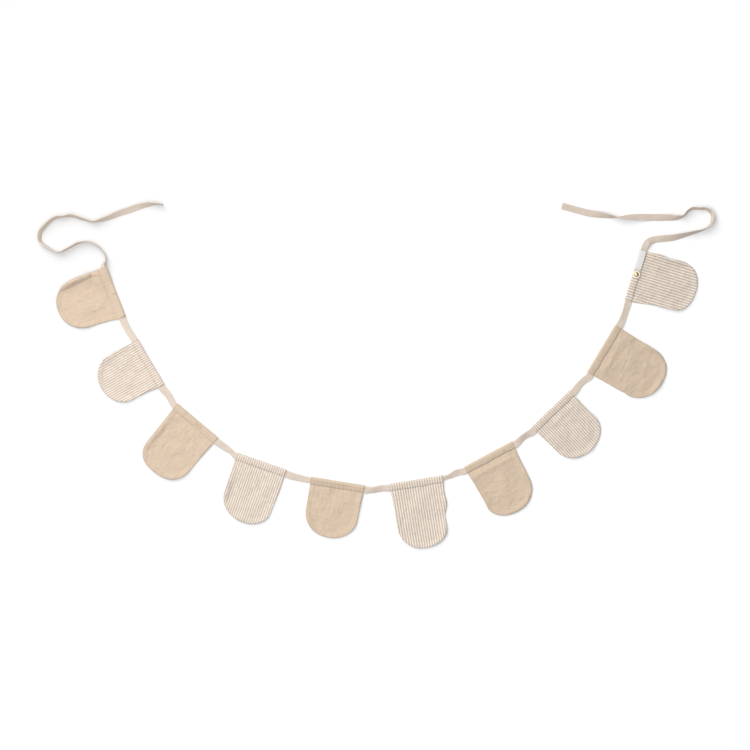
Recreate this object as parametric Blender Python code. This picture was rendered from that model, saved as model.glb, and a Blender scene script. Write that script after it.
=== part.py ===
"""Muslin bunting: ten rounded double-layer flags on one flat cotton tape.

It lies face up on a level surface. X and Y are the surface, Z is up, and the
origin is under the middle of the whole string. Lengths are in millimetres
until the meshes are written, which are in metres.
"""

import math

import bmesh
import bpy
import numpy as np

MM = 0.001
OBJECT = "muslin_bunting"

# Cloth and tape
CLOTH = 2.0            # two layers of muslin
CLOTH_RIM = 0.5        # how far each face turns in at the edge
STITCH_CLOTH = 1.8     # cloth pressed down under the casing seam
RIM_STRIP = 3.0        # rounded border of a flag
CLEAR = 0.3            # gap between pieces that touch in use

TAPE_WIDE = 15.0
TAPE_THICK = 1.0
TAPE_EDGE = 0.6        # bevel at the woven edges
TAPE_STEP = 9.0        # spacing of the sections along the tape
ROLL_STEP = 16.0       # degrees of twist between sections

# Casing: a flattened tube that the tape runs through
CASING_HIGH = 4.0
CASING_MID = CASING_HIGH / 2
TUNNEL_DOWN = 8.2      # middle of the tunnel from the outer edge
IN_CASING = 0.9        # share of the tape's width that lies open in a casing
STATIONS = 12          # strips across one flag
DROP_STRIPS = 11       # strips down one flag
CASING_FADE = 70.0     # drop over which a lifted casing comes down again
SEAM_HOLD = 8.0        # drop below the seam over which folds begin
FOLD_DIES = 0.08       # a lower rise than this lies flat

# Each flag, as seen with its casing on top. "a" is the side nearer the first
# tie. x and y are the middle of the casing's outer edge; turn is the angle of
# that edge; tip is where the lowest point sits across; wide, from and round
# are the half width, the drop where the corner starts, and its squareness;
# a_up and b_up lift the ends of the casing off the surface, and a_open and
# b_open are the share of the tape's width that lies open there, the rest
# being bunched against the casing's outer edge.
FLAG_COLUMNS = (
    "name", "cloth", "x", "y", "turn", "top", "drop", "tip", "casing",
    "a_wide", "a_from", "a_round", "b_wide", "b_from", "b_round",
    "a_up", "b_up", "a_open", "b_open",
)
FLAG_ROWS = (
    ("flag_01", "plain", -569.0, 183.5, -68.7, 117.0, 134.5, -6.0, 20.0,
     60.0, 76.0, 2.15, 51.5, 74.0, 2.10, 7.0, 0.5, 0.60, 1.00),
    ("flag_02", "striped", -492.0, 29.5, -59.5, 114.0, 124.0, -5.0, 16.4,
     59.0, 74.0, 2.00, 51.0, 76.0, 2.05, 1.5, 1.0, 0.85, 1.00),
    ("flag_03", "plain", -389.5, -100.0, -40.1, 116.5, 148.5, -8.0, 16.4,
     55.5, 100.0, 2.40, 57.0, 95.0, 2.40, 1.0, 1.5, 0.84, 0.94),
    ("flag_04", "striped", -249.0, -189.5, -19.1, 115.5, 140.0, 7.0, 16.4,
     55.0, 88.0, 2.15, 55.5, 100.0, 2.00, 1.0, 1.0, 0.80, 1.00),
    ("flag_05", "plain", -81.5, -233.5, -9.1, 118.0, 125.0, -1.0, 16.4,
     59.5, 70.0, 2.15, 55.5, 76.0, 2.10, 1.0, 1.5, 0.76, 1.00),
    ("flag_06", "striped", 90.0, -230.0, 9.3, 118.0, 151.0, -3.0, 16.4,
     57.0, 98.0, 2.10, 50.0, 112.0, 2.20, 1.5, 1.0, 0.86, 0.62),
    ("flag_07", "plain", 248.5, -174.0, 28.1, 118.0, 142.0, -3.0, 16.6,
     55.5, 104.0, 1.95, 55.0, 88.0, 2.10, 1.0, 1.0, 0.90, 1.00),
    ("flag_08", "striped", 386.0, -74.0, 43.8, 116.0, 127.5, 0.0, 16.4,
     54.5, 78.0, 2.00, 57.5, 80.0, 2.15, 1.0, 1.0, 1.00, 1.00),
    ("flag_09", "plain", 497.5, 58.5, 59.2, 119.5, 153.5, 0.0, 16.8,
     58.5, 100.0, 2.00, 58.0, 100.0, 2.30, 1.0, 1.0, 1.00, 1.00),
    ("flag_10", "striped", 566.0, 220.5, 72.9, 116.0, 144.0, 8.0, 16.4,
     47.5, 106.0, 2.30, 59.5, 98.0, 2.15, 0.0, 0.0, 1.00, 0.98),
)
FLAGS = [dict(zip(FLAG_COLUMNS, row)) for row in FLAG_ROWS]

# Waves of a side edge: how far the edge stands out at a drop, and over what
# length of the edge
EDGE_COLUMNS = ("flag", "side", "at", "half", "out")
EDGE_ROWS = (
    ("flag_01", "b", 32.0, 16.0, -1.0),
    ("flag_02", "a", 28.0, 8.0, -1.2),
    ("flag_04", "a", 30.0, 12.0, -1.5),
    ("flag_04", "b", 50.0, 22.0, 1.5),
    ("flag_05", "b", 22.0, 8.0, 0.8),
    ("flag_06", "b", 62.0, 20.0, 4.5),
    ("flag_06", "b", 86.0, 9.0, -1.5),
    ("flag_06", "a", 60.0, 7.0, -1.2),
    ("flag_07", "a", 106.0, 9.0, 1.0),
    ("flag_08", "b", 80.0, 8.0, 1.2),
    ("flag_09", "a", 92.0, 8.0, -1.0),
    ("flag_10", "b", 45.0, 14.0, 1.2),
    ("flag_10", "b", 70.0, 10.0, -1.2),
    ("flag_10", "a", 68.0, 10.0, -1.0),
)
EDGES = [dict(zip(EDGE_COLUMNS, row)) for row in EDGE_ROWS]

# Soft folds: a ridge runs from (u1, v1) to (u2, v2), u across the flag and v
# down its drop; rise is its height and wide its half width
FOLD_COLUMNS = ("flag", "u1", "v1", "u2", "v2", "wide", "rise")
FOLD_ROWS = (
    ("flag_01", -54.0, 42.0, -52.0, 100.0, 8.0, 4.2),
    ("flag_01", 12.0, 60.0, 30.0, 104.0, 12.0, 1.2),
    ("flag_02", -60.0, 30.0, -56.0, 92.0, 9.0, 3.0),
    ("flag_02", 20.0, 34.0, 12.0, 84.0, 10.0, 1.0),
    ("flag_03", -52.0, 36.0, -50.0, 112.0, 7.0, 3.2),
    ("flag_03", -20.0, 92.0, 26.0, 62.0, 11.0, 1.8),
    ("flag_04", -56.0, 44.0, -50.0, 104.0, 8.0, 2.5),
    ("flag_04", 30.0, 40.0, 22.0, 100.0, 12.0, 1.4),
    ("flag_05", 56.0, 30.0, 55.0, 86.0, 7.0, 2.4),
    ("flag_05", -24.0, 52.0, 22.0, 66.0, 12.0, 1.2),
    ("flag_06", 58.0, 44.0, 56.0, 76.0, 9.0, 2.6),
    ("flag_06", 50.0, 98.0, 40.0, 132.0, 9.0, 2.2),
    ("flag_06", -14.0, 40.0, -4.0, 104.0, 13.0, 1.4),
    ("flag_07", -54.0, 30.0, 48.0, 30.0, 6.0, 1.8),
    ("flag_07", 54.0, 46.0, 52.0, 96.0, 8.0, 2.6),
    ("flag_07", 8.0, 56.0, -10.0, 112.0, 12.0, 1.4),
    ("flag_08", -50.0, 29.0, 52.0, 29.0, 6.0, 1.6),
    ("flag_08", 56.0, 60.0, 54.0, 94.0, 8.0, 3.0),
    ("flag_09", -54.0, 32.0, 54.0, 31.0, 7.0, 2.2),
    ("flag_09", 18.0, 60.0, -14.0, 96.0, 12.0, 2.0),
    ("flag_09", 56.0, 70.0, 54.0, 118.0, 9.0, 3.0),
    ("flag_10", 58.0, 32.0, 58.0, 104.0, 8.0, 2.8),
    ("flag_10", -50.0, 64.0, -45.0, 112.0, 9.0, 2.4),
)
FOLDS = [dict(zip(FOLD_COLUMNS, row)) for row in FOLD_ROWS]

# The tape outside the casings: x, y, roll, up. x and y are its middle line,
# roll turns it about that line (0 lies flat, 90 stands on its edge) and up
# lifts it. A row of LINKS also has the share of the width that lies open.
FIRST_TIE = (
    (-596.5, 243.5, -66.0, 1.5),
    (-592.0, 251.0, -80.0, 1.0),
    (-591.5, 260.0, -89.0, 0.5),
    (-597.5, 270.5, -88.0, 0.0),
    (-612.0, 286.5, -86.0, 0.0),
    (-631.0, 294.0, -90.0, 0.0),
    (-653.0, 290.0, -74.0, 0.0),
    (-676.0, 278.0, -78.0, 0.0),
    (-696.0, 270.5, -90.0, 0.0),
    (-721.0, 283.0, -96.0, 0.0),
    (-736.0, 295.0, -118.0, 0.0),
    (-735.5, 312.5, -128.0, 0.0),
    (-725.5, 326.5, -118.0, 0.0),
    (-701.5, 345.5, -110.0, 0.0),
    (-686.0, 348.0, -92.0, 0.0),
    (-670.0, 350.0, -115.0, 0.0),
    (-645.0, 343.5, -108.0, 0.0),
    (-619.0, 337.0, -91.0, 0.0),
    (-592.0, 343.5, -128.0, 0.0),
    (-562.0, 355.5, -148.0, 0.0),
    (-540.0, 363.0, -152.0, 0.0),
    (-522.5, 369.0, -150.0, 0.0),
    (-500.0, 374.5, -132.0, 0.0),
    (-484.0, 376.0, -106.0, 0.0),
    (-466.0, 374.5, -94.0, 0.0),
)
LAST_TIE = (
    (594.5, 284.5, -18.0, 0.4),
    (599.5, 292.5, -30.0, 0.4),
    (609.0, 296.5, -6.0, 0.2),
    (636.0, 300.0, 14.0, 0.0),
    (656.0, 302.0, 28.0, 0.0),
    (675.0, 306.5, 45.0, 0.0),
    (700.0, 313.5, 63.0, 0.0),
    (722.0, 320.5, 80.0, 0.0),
    (736.0, 331.0, 100.0, 0.0),
    (741.5, 345.0, 108.0, 0.0),
    (738.0, 358.0, 114.0, 0.0),
    (727.5, 364.5, 106.0, 0.0),
    (712.0, 365.0, 106.0, 0.0),
    (698.0, 365.5, 113.0, 0.0),
    (687.5, 359.5, 107.0, 0.0),
    (678.5, 349.5, 105.0, 0.0),
    (664.0, 345.5, 128.0, 0.0),
    (650.0, 346.0, 152.0, 0.0),
    (620.0, 346.5, 173.0, 0.0),
    (580.0, 347.5, 197.0, 0.0),
    (554.0, 348.0, 234.0, 0.0),
    (534.0, 347.0, 268.0, 0.0),
    (517.0, 349.0, 299.0, 0.0),
    (500.0, 351.5, 326.0, 0.0),
    (473.0, 355.5, 352.0, 0.0),
    (440.0, 364.0, 360.0, 0.0),
    (411.0, 372.0, 360.0, 0.0),
)
# A link is the bare tape after the flag of that number
LINKS = {
    1: ((-547.2, 105.4, 10.0, 0.0, 1.0),),
    2: ((-454.6, -45.2, 18.0, 0.0, 1.0),),
    3: ((-328.1, -161.1, 12.0, 0.0, 1.0), (-317.2, -168.9, 14.0, 0.0, 0.72)),
    4: ((-168.0, -226.3, 16.0, 0.0, 1.0),),
    5: ((-5.4, -253.4, 24.0, 0.0, 1.0), (11.9, -250.1, 14.0, 0.0, 1.0)),
    6: ((158.0, -225.0, 22.0, 0.0, 0.68), (179.3, -215.7, 12.0, 0.0, 1.0)),
    7: ((328.1, -136.0, 26.0, 0.0, 1.0),),
    8: ((453.6, -17.9, 8.0, 0.0, 1.0),),
    9: ((550.4, 136.6, 10.0, 0.0, 1.0),),
}
MOUTH_RUN = 2.0        # straight tape outside each end of a casing

# Label and stud on the casing of the last flag
LABEL_FROM, LABEL_TO = 15.0, 57.5     # across the flag
LABEL_IN = 14.6                       # drop reached on the casing's top
LABEL_THICK = 0.8
LABEL_STRIPS = 5
STUD_ACROSS, STUD_DOWN = 2.9, 8.4
DISC_WIDE, DISC_THICK = 16.4, 0.8
DOME_WIDE, DOME_HIGH = 10.8, 3.0
RIM_HIGH = 0.5
ROUND_SIDES = 40

# Colour, roughness and metallic of each material
MATERIALS = {
    "plain": ((0.735, 0.590, 0.440), 0.95, 0.0),
    "striped": ((0.790, 0.690, 0.575), 0.95, 0.0),
    "tape": ((0.700, 0.570, 0.455), 0.9, 0.0),
    "label": ((0.800, 0.780, 0.745), 0.85, 0.0),
    "disc": ((0.820, 0.810, 0.785), 0.5, 0.0),
    "brass": ((0.560, 0.330, 0.090), 0.28, 1.0),
}


def smooth(t):
    t = np.clip(t, 0.0, 1.0)
    return t * t * (3.0 - 2.0 * t)


def resample(points, fractions):
    """Points of a polyline at the given shares of its length."""
    points = np.asarray(points, float)
    steps = np.linalg.norm(np.diff(points, axis=0), axis=1)
    along = np.concatenate(([0.0], np.cumsum(steps)))
    at = np.asarray(fractions) * along[-1]
    return np.column_stack([np.interp(at, along, c) for c in points.T])


def side_edge(flag, side, samples=48):
    """Half widths and drops down one side, from the casing to its corner."""
    top = flag["top"] / 2
    wide, start = flag[side + "_wide"], flag[side + "_from"]
    power = 2.0 / flag[side + "_round"]
    lean = -flag["tip"] if side == "a" else flag["tip"]
    across, deep = wide - lean, flag["drop"] - start
    straight = np.linspace(0.0, 1.0, samples)
    u = top + (wide - top) * (1.0 - (1.0 - straight) ** 1.5)
    v = flag["casing"] + (start - flag["casing"]) * straight
    angle = np.linspace(0.0, math.pi / 2, samples)[1:]
    u = np.concatenate((u, lean + across * np.cos(angle) ** power))
    v = np.concatenate((v, start + deep * np.sin(angle) ** power))
    for wave in EDGES:
        if wave["flag"] == flag["name"] and wave["side"] == side:
            u = u + wave["out"] * np.exp(-(((v - wave["at"]) / wave["half"]) ** 2))
    corner = samples + int(samples * 0.46)
    return np.column_stack((u, v)), corner


def body_grid(flag, shares, drops):
    """Grid of (u, v) that fills the flag below its casing."""
    a_points, a_corner = side_edge(flag, "a")
    b_points, b_corner = side_edge(flag, "b")
    a_points[:, 0] *= -1.0
    left = resample(a_points[: a_corner + 1], drops)
    right = resample(b_points[: b_corner + 1], drops)
    arc = np.vstack((a_points[a_corner:], b_points[b_corner:-1][::-1]))
    bottom = resample(arc, shares)
    top = resample([left[0], right[0]], shares)
    s, t = shares[:, None, None], drops[None, :, None]
    corners = (
        (1 - s) * (1 - t) * left[0] + s * (1 - t) * right[0]
        + (1 - s) * t * left[-1] + s * t * right[-1]
    )
    return (
        (1 - t) * top[:, None] + t * bottom[:, None]
        + (1 - s) * left[None] + s * right[None] - corners
    )


def casing_lift(flag, u):
    """How far the casing is off the surface at u."""
    half = flag["top"] / 2
    a_end = smooth((-u - 4.0) / (half - 4.0))
    b_end = smooth((u - 4.0) / (half - 4.0))
    return flag["a_up"] * a_end + flag["b_up"] * b_end


def fold_lift(flag, u, v):
    """Height of the flag's lower face over the surface."""
    lift = casing_lift(flag, u) * (1.0 - smooth((v - flag["casing"]) / CASING_FADE))
    for fold in FOLDS:
        if fold["flag"] != flag["name"]:
            continue
        du, dv = fold["u2"] - fold["u1"], fold["v2"] - fold["v1"]
        share = ((u - fold["u1"]) * du + (v - fold["v1"]) * dv) / (du * du + dv * dv)
        share = np.clip(share, 0.0, 1.0)
        away = np.hypot(u - fold["u1"] - share * du, v - fold["v1"] - share * dv)
        taper = 0.35 + 0.65 * np.sin(math.pi * share)
        height = fold["rise"] * taper * np.exp(-((away / fold["wide"]) ** 2))
        height = np.where(height > FOLD_DIES, height, 0.0)
        lift = lift + height * smooth((v - flag["casing"]) / SEAM_HOLD)
    return lift


def casing_ring(flag):
    """Outer profile (v, z) of the casing, from its seam on top and round."""
    deep, high = flag["casing"], CASING_HIGH
    return (
        (deep, STITCH_CLOTH), (deep - 0.7, 3.1), (deep - 2.8, high - 0.1),
        (deep / 2, high), (3.2, high - 0.1), (1.0, 3.3), (0.0, CASING_MID),
        (0.8, 0.7), (2.8, 0.0), (deep / 2, 0.0), (deep - 2.0, 0.0), (deep, 0.0),
    )


def tape_profile(share, grow):
    """Section of the tape, or of its tunnel, about its own middle."""
    half, thick = share * TAPE_WIDE / 2 + grow, TAPE_THICK / 2 + grow
    inner = half - TAPE_EDGE
    return (
        (half, 0.0), (inner, thick), (-inner, thick),
        (-half, 0.0), (-inner, -thick), (inner, -thick),
    )


def axes(flag):
    """Directions across the flag and down its drop."""
    angle = math.radians(flag["turn"])
    across = np.array((math.cos(angle), math.sin(angle)))
    return across, np.array((across[1], -across[0]))


def place(flag, u, v, z):
    """Point in the object's frame."""
    across, down = axes(flag)
    x = flag["x"] + u * across[0] + v * down[0]
    y = flag["y"] + u * across[1] + v * down[1]
    return (x, y, z)


def station_shares():
    """Shares across a flag: a narrow strip at each side, even ones between."""
    strip = RIM_STRIP / 116.0
    inner = np.linspace(strip, 1.0 - strip, STATIONS - 1)
    return np.concatenate(([0.0], inner, [1.0]))


def drop_shares():
    strip = RIM_STRIP / 120.0
    inner = np.linspace(0.0, 1.0 - strip, DROP_STRIPS)
    return np.concatenate((inner, [1.0]))


def add_object(name, material, points, faces, collection):
    """Closed smooth-shaded mesh object from points in millimetres."""
    mesh = bpy.data.meshes.new(name)
    mesh.from_pydata([tuple(c * MM for c in p) for p in points], [], faces)
    bm = bmesh.new()
    bm.from_mesh(mesh)
    bmesh.ops.recalc_face_normals(bm, faces=bm.faces)
    bmesh.ops.triangulate(bm, faces=bm.faces, quad_method="SHORT_EDGE")
    bm.to_mesh(mesh)
    bm.free()
    mesh.materials.append(material)
    for polygon in mesh.polygons:
        polygon.use_smooth = True
    made = bpy.data.objects.new(name, mesh)
    collection.objects.link(made)
    return made


def flag_solid(flag, material, collection):
    shares, drops = station_shares(), drop_shares()
    grid = body_grid(flag, shares, drops)
    count, rows = len(shares), len(drops)
    ring, hole = casing_ring(flag), tape_profile(IN_CASING, CLEAR)
    points, faces = [], []

    def add(u, v, z):
        points.append(place(flag, u, v, z))
        return len(points) - 1

    rings, holes = [], []
    for i in range(count):
        u = grid[i, 0, 0]
        up = float(casing_lift(flag, u))
        rings.append([add(u, v, z + up) for v, z in ring])
        holes.append([
            add(u, TUNNEL_DOWN + v, CASING_MID + z + up) for v, z in hole
        ])
    top, under = [], []
    for i in range(count):
        top.append([rings[i][0]])
        under.append([rings[i][-1]])
        for j in range(1, rows):
            u, v = grid[i, j]
            up = float(fold_lift(flag, u, v))
            rim = CLOTH_RIM if i in (0, count - 1) or j == rows - 1 else 0.0
            top[i].append(add(u, v, up + CLOTH - rim))
            under[i].append(add(u, v, up + rim))

    for i in range(count - 1):
        for k in range(len(ring) - 1):
            faces.append((rings[i][k], rings[i][k + 1],
                          rings[i + 1][k + 1], rings[i + 1][k]))
        for k in range(len(hole)):
            after = (k + 1) % len(hole)
            faces.append((holes[i][k], holes[i + 1][k],
                          holes[i + 1][after], holes[i][after]))
        for j in range(rows - 1):
            faces.append((top[i][j], top[i + 1][j], top[i + 1][j + 1], top[i][j + 1]))
            faces.append((under[i][j], under[i][j + 1],
                          under[i + 1][j + 1], under[i + 1][j]))
        faces.append((top[i][-1], top[i + 1][-1], under[i + 1][-1], under[i][-1]))
    for i in (0, count - 1):
        for j in range(rows - 1):
            faces.append((top[i][j], top[i][j + 1], under[i][j + 1], under[i][j]))
        for k in range(len(hole)):
            after = (k + 1) % len(hole)
            far = (2 * k + 2) % len(ring)
            faces.append((rings[i][2 * k], rings[i][2 * k + 1], holes[i][k]))
            faces.append((rings[i][2 * k + 1], rings[i][far],
                          holes[i][after], holes[i][k]))
    return add_object(flag["name"], material, points, faces, collection)


def casing_stations(flag):
    """Sections (x, y, z, share) of the tape inside one casing."""
    u_values = body_grid(flag, station_shares(), drop_shares())[:, 0, 0]
    shares = [flag["a_open"]] + [1.0] * (len(u_values) - 2) + [flag["b_open"]]
    stations = []
    for u, share in zip(u_values, shares):
        share = min(share, IN_CASING)
        down = TUNNEL_DOWN - (IN_CASING - share) * TAPE_WIDE / 2
        point = place(flag, u, down, CASING_MID + float(casing_lift(flag, u)))
        stations.append((*point, share))
    return stations


def link_points(start, end, start_way, end_way, rows):
    """Sections (x, y, z, share, roll, way) of bare tape between two ends."""
    knots = [start[:2]] + [row[:2] for row in rows]
    rolls = [0.0] + [row[2] for row in rows]
    lifts = [start[2] - TAPE_THICK / 2] + [row[3] for row in rows]
    shares = [start[3]] + [row[4] for row in rows]
    if end is not None:
        knots.append(end[:2])
        rolls.append(0.0)
        lifts.append(end[2] - TAPE_THICK / 2)
        shares.append(end[3])
    knots = np.array(knots, float)
    gaps = np.linalg.norm(np.diff(knots, axis=0), axis=1)
    ways = np.zeros_like(knots)
    ways[0] = start_way
    for k in range(1, len(knots) - 1):
        before = (knots[k] - knots[k - 1]) / gaps[k - 1]
        after = (knots[k + 1] - knots[k]) / gaps[k]
        blend = (before * gaps[k] + after * gaps[k - 1]) / (gaps[k] + gaps[k - 1])
        ways[k] = blend
    ways[-1] = end_way if end_way is not None else (knots[-1] - knots[-2]) / gaps[-1]
    sections = []
    for k, gap in enumerate(gaps):
        turned_by = abs(rolls[k + 1] - rolls[k])
        steps = max(2, round(gap / TAPE_STEP), round(turned_by / ROLL_STEP))
        for n in range(1, steps + 1):
            t = n / steps
            a, b = knots[k], knots[k + 1]
            h = (2 * t**3 - 3 * t**2 + 1, t**3 - 2 * t**2 + t,
                 -2 * t**3 + 3 * t**2, t**3 - t**2)
            x, y = h[0] * a + h[1] * gap * ways[k] + h[2] * b + h[3] * gap * ways[k + 1]
            slope = (6 * t**2 - 6 * t, 3 * t**2 - 4 * t + 1, 3 * t**2 - 2 * t)
            way = slope[0] * (a - b) + gap * (slope[1] * ways[k] + slope[2] * ways[k + 1])
            ease = float(smooth(t))
            roll = rolls[k] + (rolls[k + 1] - rolls[k]) * (0.5 * t + 0.5 * ease)
            up = lifts[k] + (lifts[k + 1] - lifts[k]) * ease
            share = shares[k] + (shares[k + 1] - shares[k]) * ease
            rest = rest_height(roll, share)
            sections.append((x, y, max(rest + up, rest), share, roll, way))
    return sections


def rest_height(roll, share):
    """Height of the tape's middle when its lowest edge is on the surface."""
    angle = math.radians(roll)
    half, thick = share * TAPE_WIDE / 2, TAPE_THICK / 2
    inner = share * (TAPE_WIDE / 2 - TAPE_EDGE)
    return max(
        half * abs(math.sin(angle)),
        inner * abs(math.sin(angle)) + thick * abs(math.cos(angle)),
    )


def full_width(rows):
    return [(*row, 1.0) for row in rows]


def tape_sections():
    """Every section of the tape, from its first free end to its last."""
    mouth, way = casing_mouth(FLAGS[0], "a")
    tie = link_points(mouth, None, -way, None, full_width(FIRST_TIE))
    sections = [
        (x, y, z, share, -roll, -way) for x, y, z, share, roll, way in reversed(tie)
    ]
    for number, flag in enumerate(FLAGS, start=1):
        start, way = casing_mouth(flag, "a")
        end, _ = casing_mouth(flag, "b")
        if math.dist(sections[-1][:2], start[:2]) > MOUTH_RUN / 4:
            sections.append((*start, 0.0, way))
        sections += [(*station, 0.0, way) for station in casing_stations(flag)]
        sections.append((*end, 0.0, way))
        if number < len(FLAGS):
            target, next_way = casing_mouth(FLAGS[number], "a")
            sections += link_points(end, target, way, next_way, LINKS[number])
        else:
            sections += link_points(end, None, way, None, full_width(LAST_TIE))
    return sections


def casing_mouth(flag, side):
    """A point on the tape just outside one end of a casing, and its way."""
    across, drop = axes(flag)
    stations = casing_stations(flag)
    x, y, z, inside = stations[0] if side == "a" else stations[-1]
    sign = -1.0 if side == "a" else 1.0
    share = flag[side + "_open"]
    wider = (share - inside) * TAPE_WIDE / 2
    x, y = np.array((x, y)) + sign * MOUTH_RUN * across + wider * drop
    return (float(x), float(y), z, share), across


def tape_solid(material, collection):
    sections = tape_sections()
    profile = tape_profile(1.0, 0.0)
    points, faces = [], []
    last = len(sections) - 1
    for x, y, z, share, roll, way in sections:
        way = way / np.linalg.norm(way)
        left = np.array((-way[1], way[0]))
        cos, sin = math.cos(math.radians(roll)), math.sin(math.radians(roll))
        for wide, thick in profile:
            wide *= share
            side = wide * cos - thick * sin
            points.append((x + left[0] * side, y + left[1] * side,
                           z + wide * sin + thick * cos))
    sides = len(profile)
    for n in range(last):
        for k in range(sides):
            after = (k + 1) % sides
            faces.append((n * sides + k, n * sides + after,
                          (n + 1) * sides + after, (n + 1) * sides + k))
    faces.append(tuple(range(sides)))
    faces.append(tuple(last * sides + k for k in range(sides)))
    return add_object("tape", material, points, faces, collection)


def label_solid(material, collection):
    """Blank woven label on the casing, turned down over its outer edge."""
    flag = FLAGS[-1]
    ring = casing_ring(flag)
    run = [(LABEL_IN, CASING_HIGH)] + list(ring[3:7]) + [(0.25, 1.4)]
    run = np.array(run)
    way = np.gradient(run, axis=0)
    way /= np.linalg.norm(way, axis=1)[:, None]
    out = np.column_stack((way[:, 1], -way[:, 0]))
    inner = run + out * (CLEAR + 0.05)
    outer = run + out * (CLEAR + 0.05 + LABEL_THICK)
    loop = np.vstack((inner, outer[::-1]))
    points, faces = [], []
    stations = np.linspace(LABEL_FROM, LABEL_TO, LABEL_STRIPS + 1)
    for u in stations:
        for v, z in loop:
            points.append(place(flag, u, v, z))
    count = len(loop)
    for i in range(LABEL_STRIPS):
        for k in range(count):
            after = (k + 1) % count
            faces.append((i * count + k, i * count + after,
                          (i + 1) * count + after, (i + 1) * count + k))
    runs = len(run)
    for i in (0, LABEL_STRIPS):
        for k in range(runs - 1):
            faces.append((i * count + k, i * count + k + 1,
                          i * count + count - 2 - k, i * count + count - 1 - k))
    return add_object("label", material, points, faces, collection)


def turned(name, profile, centre, material, collection):
    """Solid of revolution about a vertical line, from (radius, z) rows."""
    x, y = centre
    points = [(x, y, profile[0][1])]
    faces = []
    for radius, z in profile[1:-1]:
        for k in range(ROUND_SIDES):
            angle = 2 * math.pi * k / ROUND_SIDES
            points.append((x + radius * math.cos(angle), y + radius * math.sin(angle), z))
    points.append((x, y, profile[-1][1]))
    rings = len(profile) - 2
    end = len(points) - 1
    for k in range(ROUND_SIDES):
        after = (k + 1) % ROUND_SIDES
        faces.append((0, 1 + after, 1 + k))
        for r in range(rings - 1):
            low, high = 1 + r * ROUND_SIDES, 1 + (r + 1) * ROUND_SIDES
            faces.append((low + k, low + after, high + after, high + k))
        last = 1 + (rings - 1) * ROUND_SIDES
        faces.append((last + k, last + after, end))
    return add_object(name, material, points, faces, collection)


def stud_solids(disc_material, dome_material, collection):
    """Round disc and domed stud on the casing, beside the label."""
    flag = FLAGS[-1]
    x, y, _ = place(flag, STUD_ACROSS, STUD_DOWN, 0.0)
    base = CASING_HIGH + CLEAR
    radius = DISC_WIDE / 2
    disc = (
        (0.0, base), (radius - 0.3, base), (radius, base + 0.3),
        (radius - 0.2, base + DISC_THICK), (0.0, base + DISC_THICK),
    )
    turned("stud_disc", disc, (x, y), disc_material, collection)
    foot = base + DISC_THICK + CLEAR
    radius = DOME_WIDE / 2
    dome = [(0.0, foot), (radius - 0.2, foot), (radius, foot + 0.2),
            (radius, foot + RIM_HIGH)]
    for degrees in (18.0, 36.0, 54.0, 72.0):
        angle = math.radians(degrees)
        dome.append((radius * math.cos(angle),
                     foot + RIM_HIGH + (DOME_HIGH - RIM_HIGH) * math.sin(angle)))
    dome.append((0.0, foot + DOME_HIGH))
    turned("stud", dome, (x, y), dome_material, collection)


def make_material(name):
    colour, roughness, metallic = MATERIALS[name]
    material = bpy.data.materials.new(name)
    material.use_nodes = True
    shader = material.node_tree.nodes["Principled BSDF"]
    shader.inputs["Base Color"].default_value = (*colour, 1.0)
    shader.inputs["Roughness"].default_value = roughness
    shader.inputs["Metallic"].default_value = metallic
    material.diffuse_color = (*colour, 1.0)
    return material


def main():
    for old in list(bpy.data.objects):
        bpy.data.objects.remove(old, do_unlink=True)
    collection = bpy.data.collections.new(OBJECT)
    bpy.context.scene.collection.children.link(collection)
    for flag in FLAGS:
        material = make_material(flag["cloth"])
        material.name = flag["name"] + "_" + flag["cloth"]
        flag_solid(flag, material, collection)
    tape_solid(make_material("tape"), collection)
    label_solid(make_material("label"), collection)
    stud_solids(make_material("disc"), make_material("brass"), collection)


main()
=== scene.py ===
"""Muslin bunting laid on a white surface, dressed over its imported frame.

Lengths in the tables are millimetres; the meshes are written in metres.
"""

import math

import bmesh
import bpy
import numpy as np
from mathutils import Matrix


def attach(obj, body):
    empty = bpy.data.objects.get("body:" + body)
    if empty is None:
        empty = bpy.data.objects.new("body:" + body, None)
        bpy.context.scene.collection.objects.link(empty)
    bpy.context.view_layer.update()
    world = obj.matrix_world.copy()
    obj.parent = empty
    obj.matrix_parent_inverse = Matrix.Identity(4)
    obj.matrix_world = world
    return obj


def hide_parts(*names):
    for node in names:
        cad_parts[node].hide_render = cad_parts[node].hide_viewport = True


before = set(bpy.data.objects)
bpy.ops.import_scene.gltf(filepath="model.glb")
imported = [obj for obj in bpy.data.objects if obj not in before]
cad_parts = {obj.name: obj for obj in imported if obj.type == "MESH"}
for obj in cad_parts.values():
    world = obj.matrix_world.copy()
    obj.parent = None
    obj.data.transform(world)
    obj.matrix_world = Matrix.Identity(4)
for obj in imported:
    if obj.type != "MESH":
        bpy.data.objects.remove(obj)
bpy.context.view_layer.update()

MM = 0.001
VIEW_WIDE = 1.65          # width of the view on the surface, metres
CAMERA_HIGH = 6.0

# Cloth and tape, as in the part
CLOTH = 2.0
STITCH_CLOTH = 1.8
CLEAR = 0.3
TAPE_WIDE = 15.0
TAPE_THICK = 1.0
TAPE_EDGE = 0.6
CASING_HIGH = 4.0
CASING_MID = CASING_HIGH / 2
TUNNEL_DOWN = 8.2
IN_CASING = 0.9           # share of the tape's width that lies open in a casing
CASING_FADE = 70.0
SEAM_HOLD = 8.0
FOLD_DIES = 0.08
MOUTH_RUN = 2.0
RIM_STRIP = 3.0

# Finish of the tape
TAPE_STEP = 1.9           # spacing of its sections
EDGE_CURL = 1.6           # how far it curls across its width when it is on edge
BUNCH = 2.2               # height of the pleats where it is bunched
ROLL_NOISE = 2.5          # stray roll, degrees
CUP_NOISE = 0.5
RIPPLE = 0.25

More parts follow.
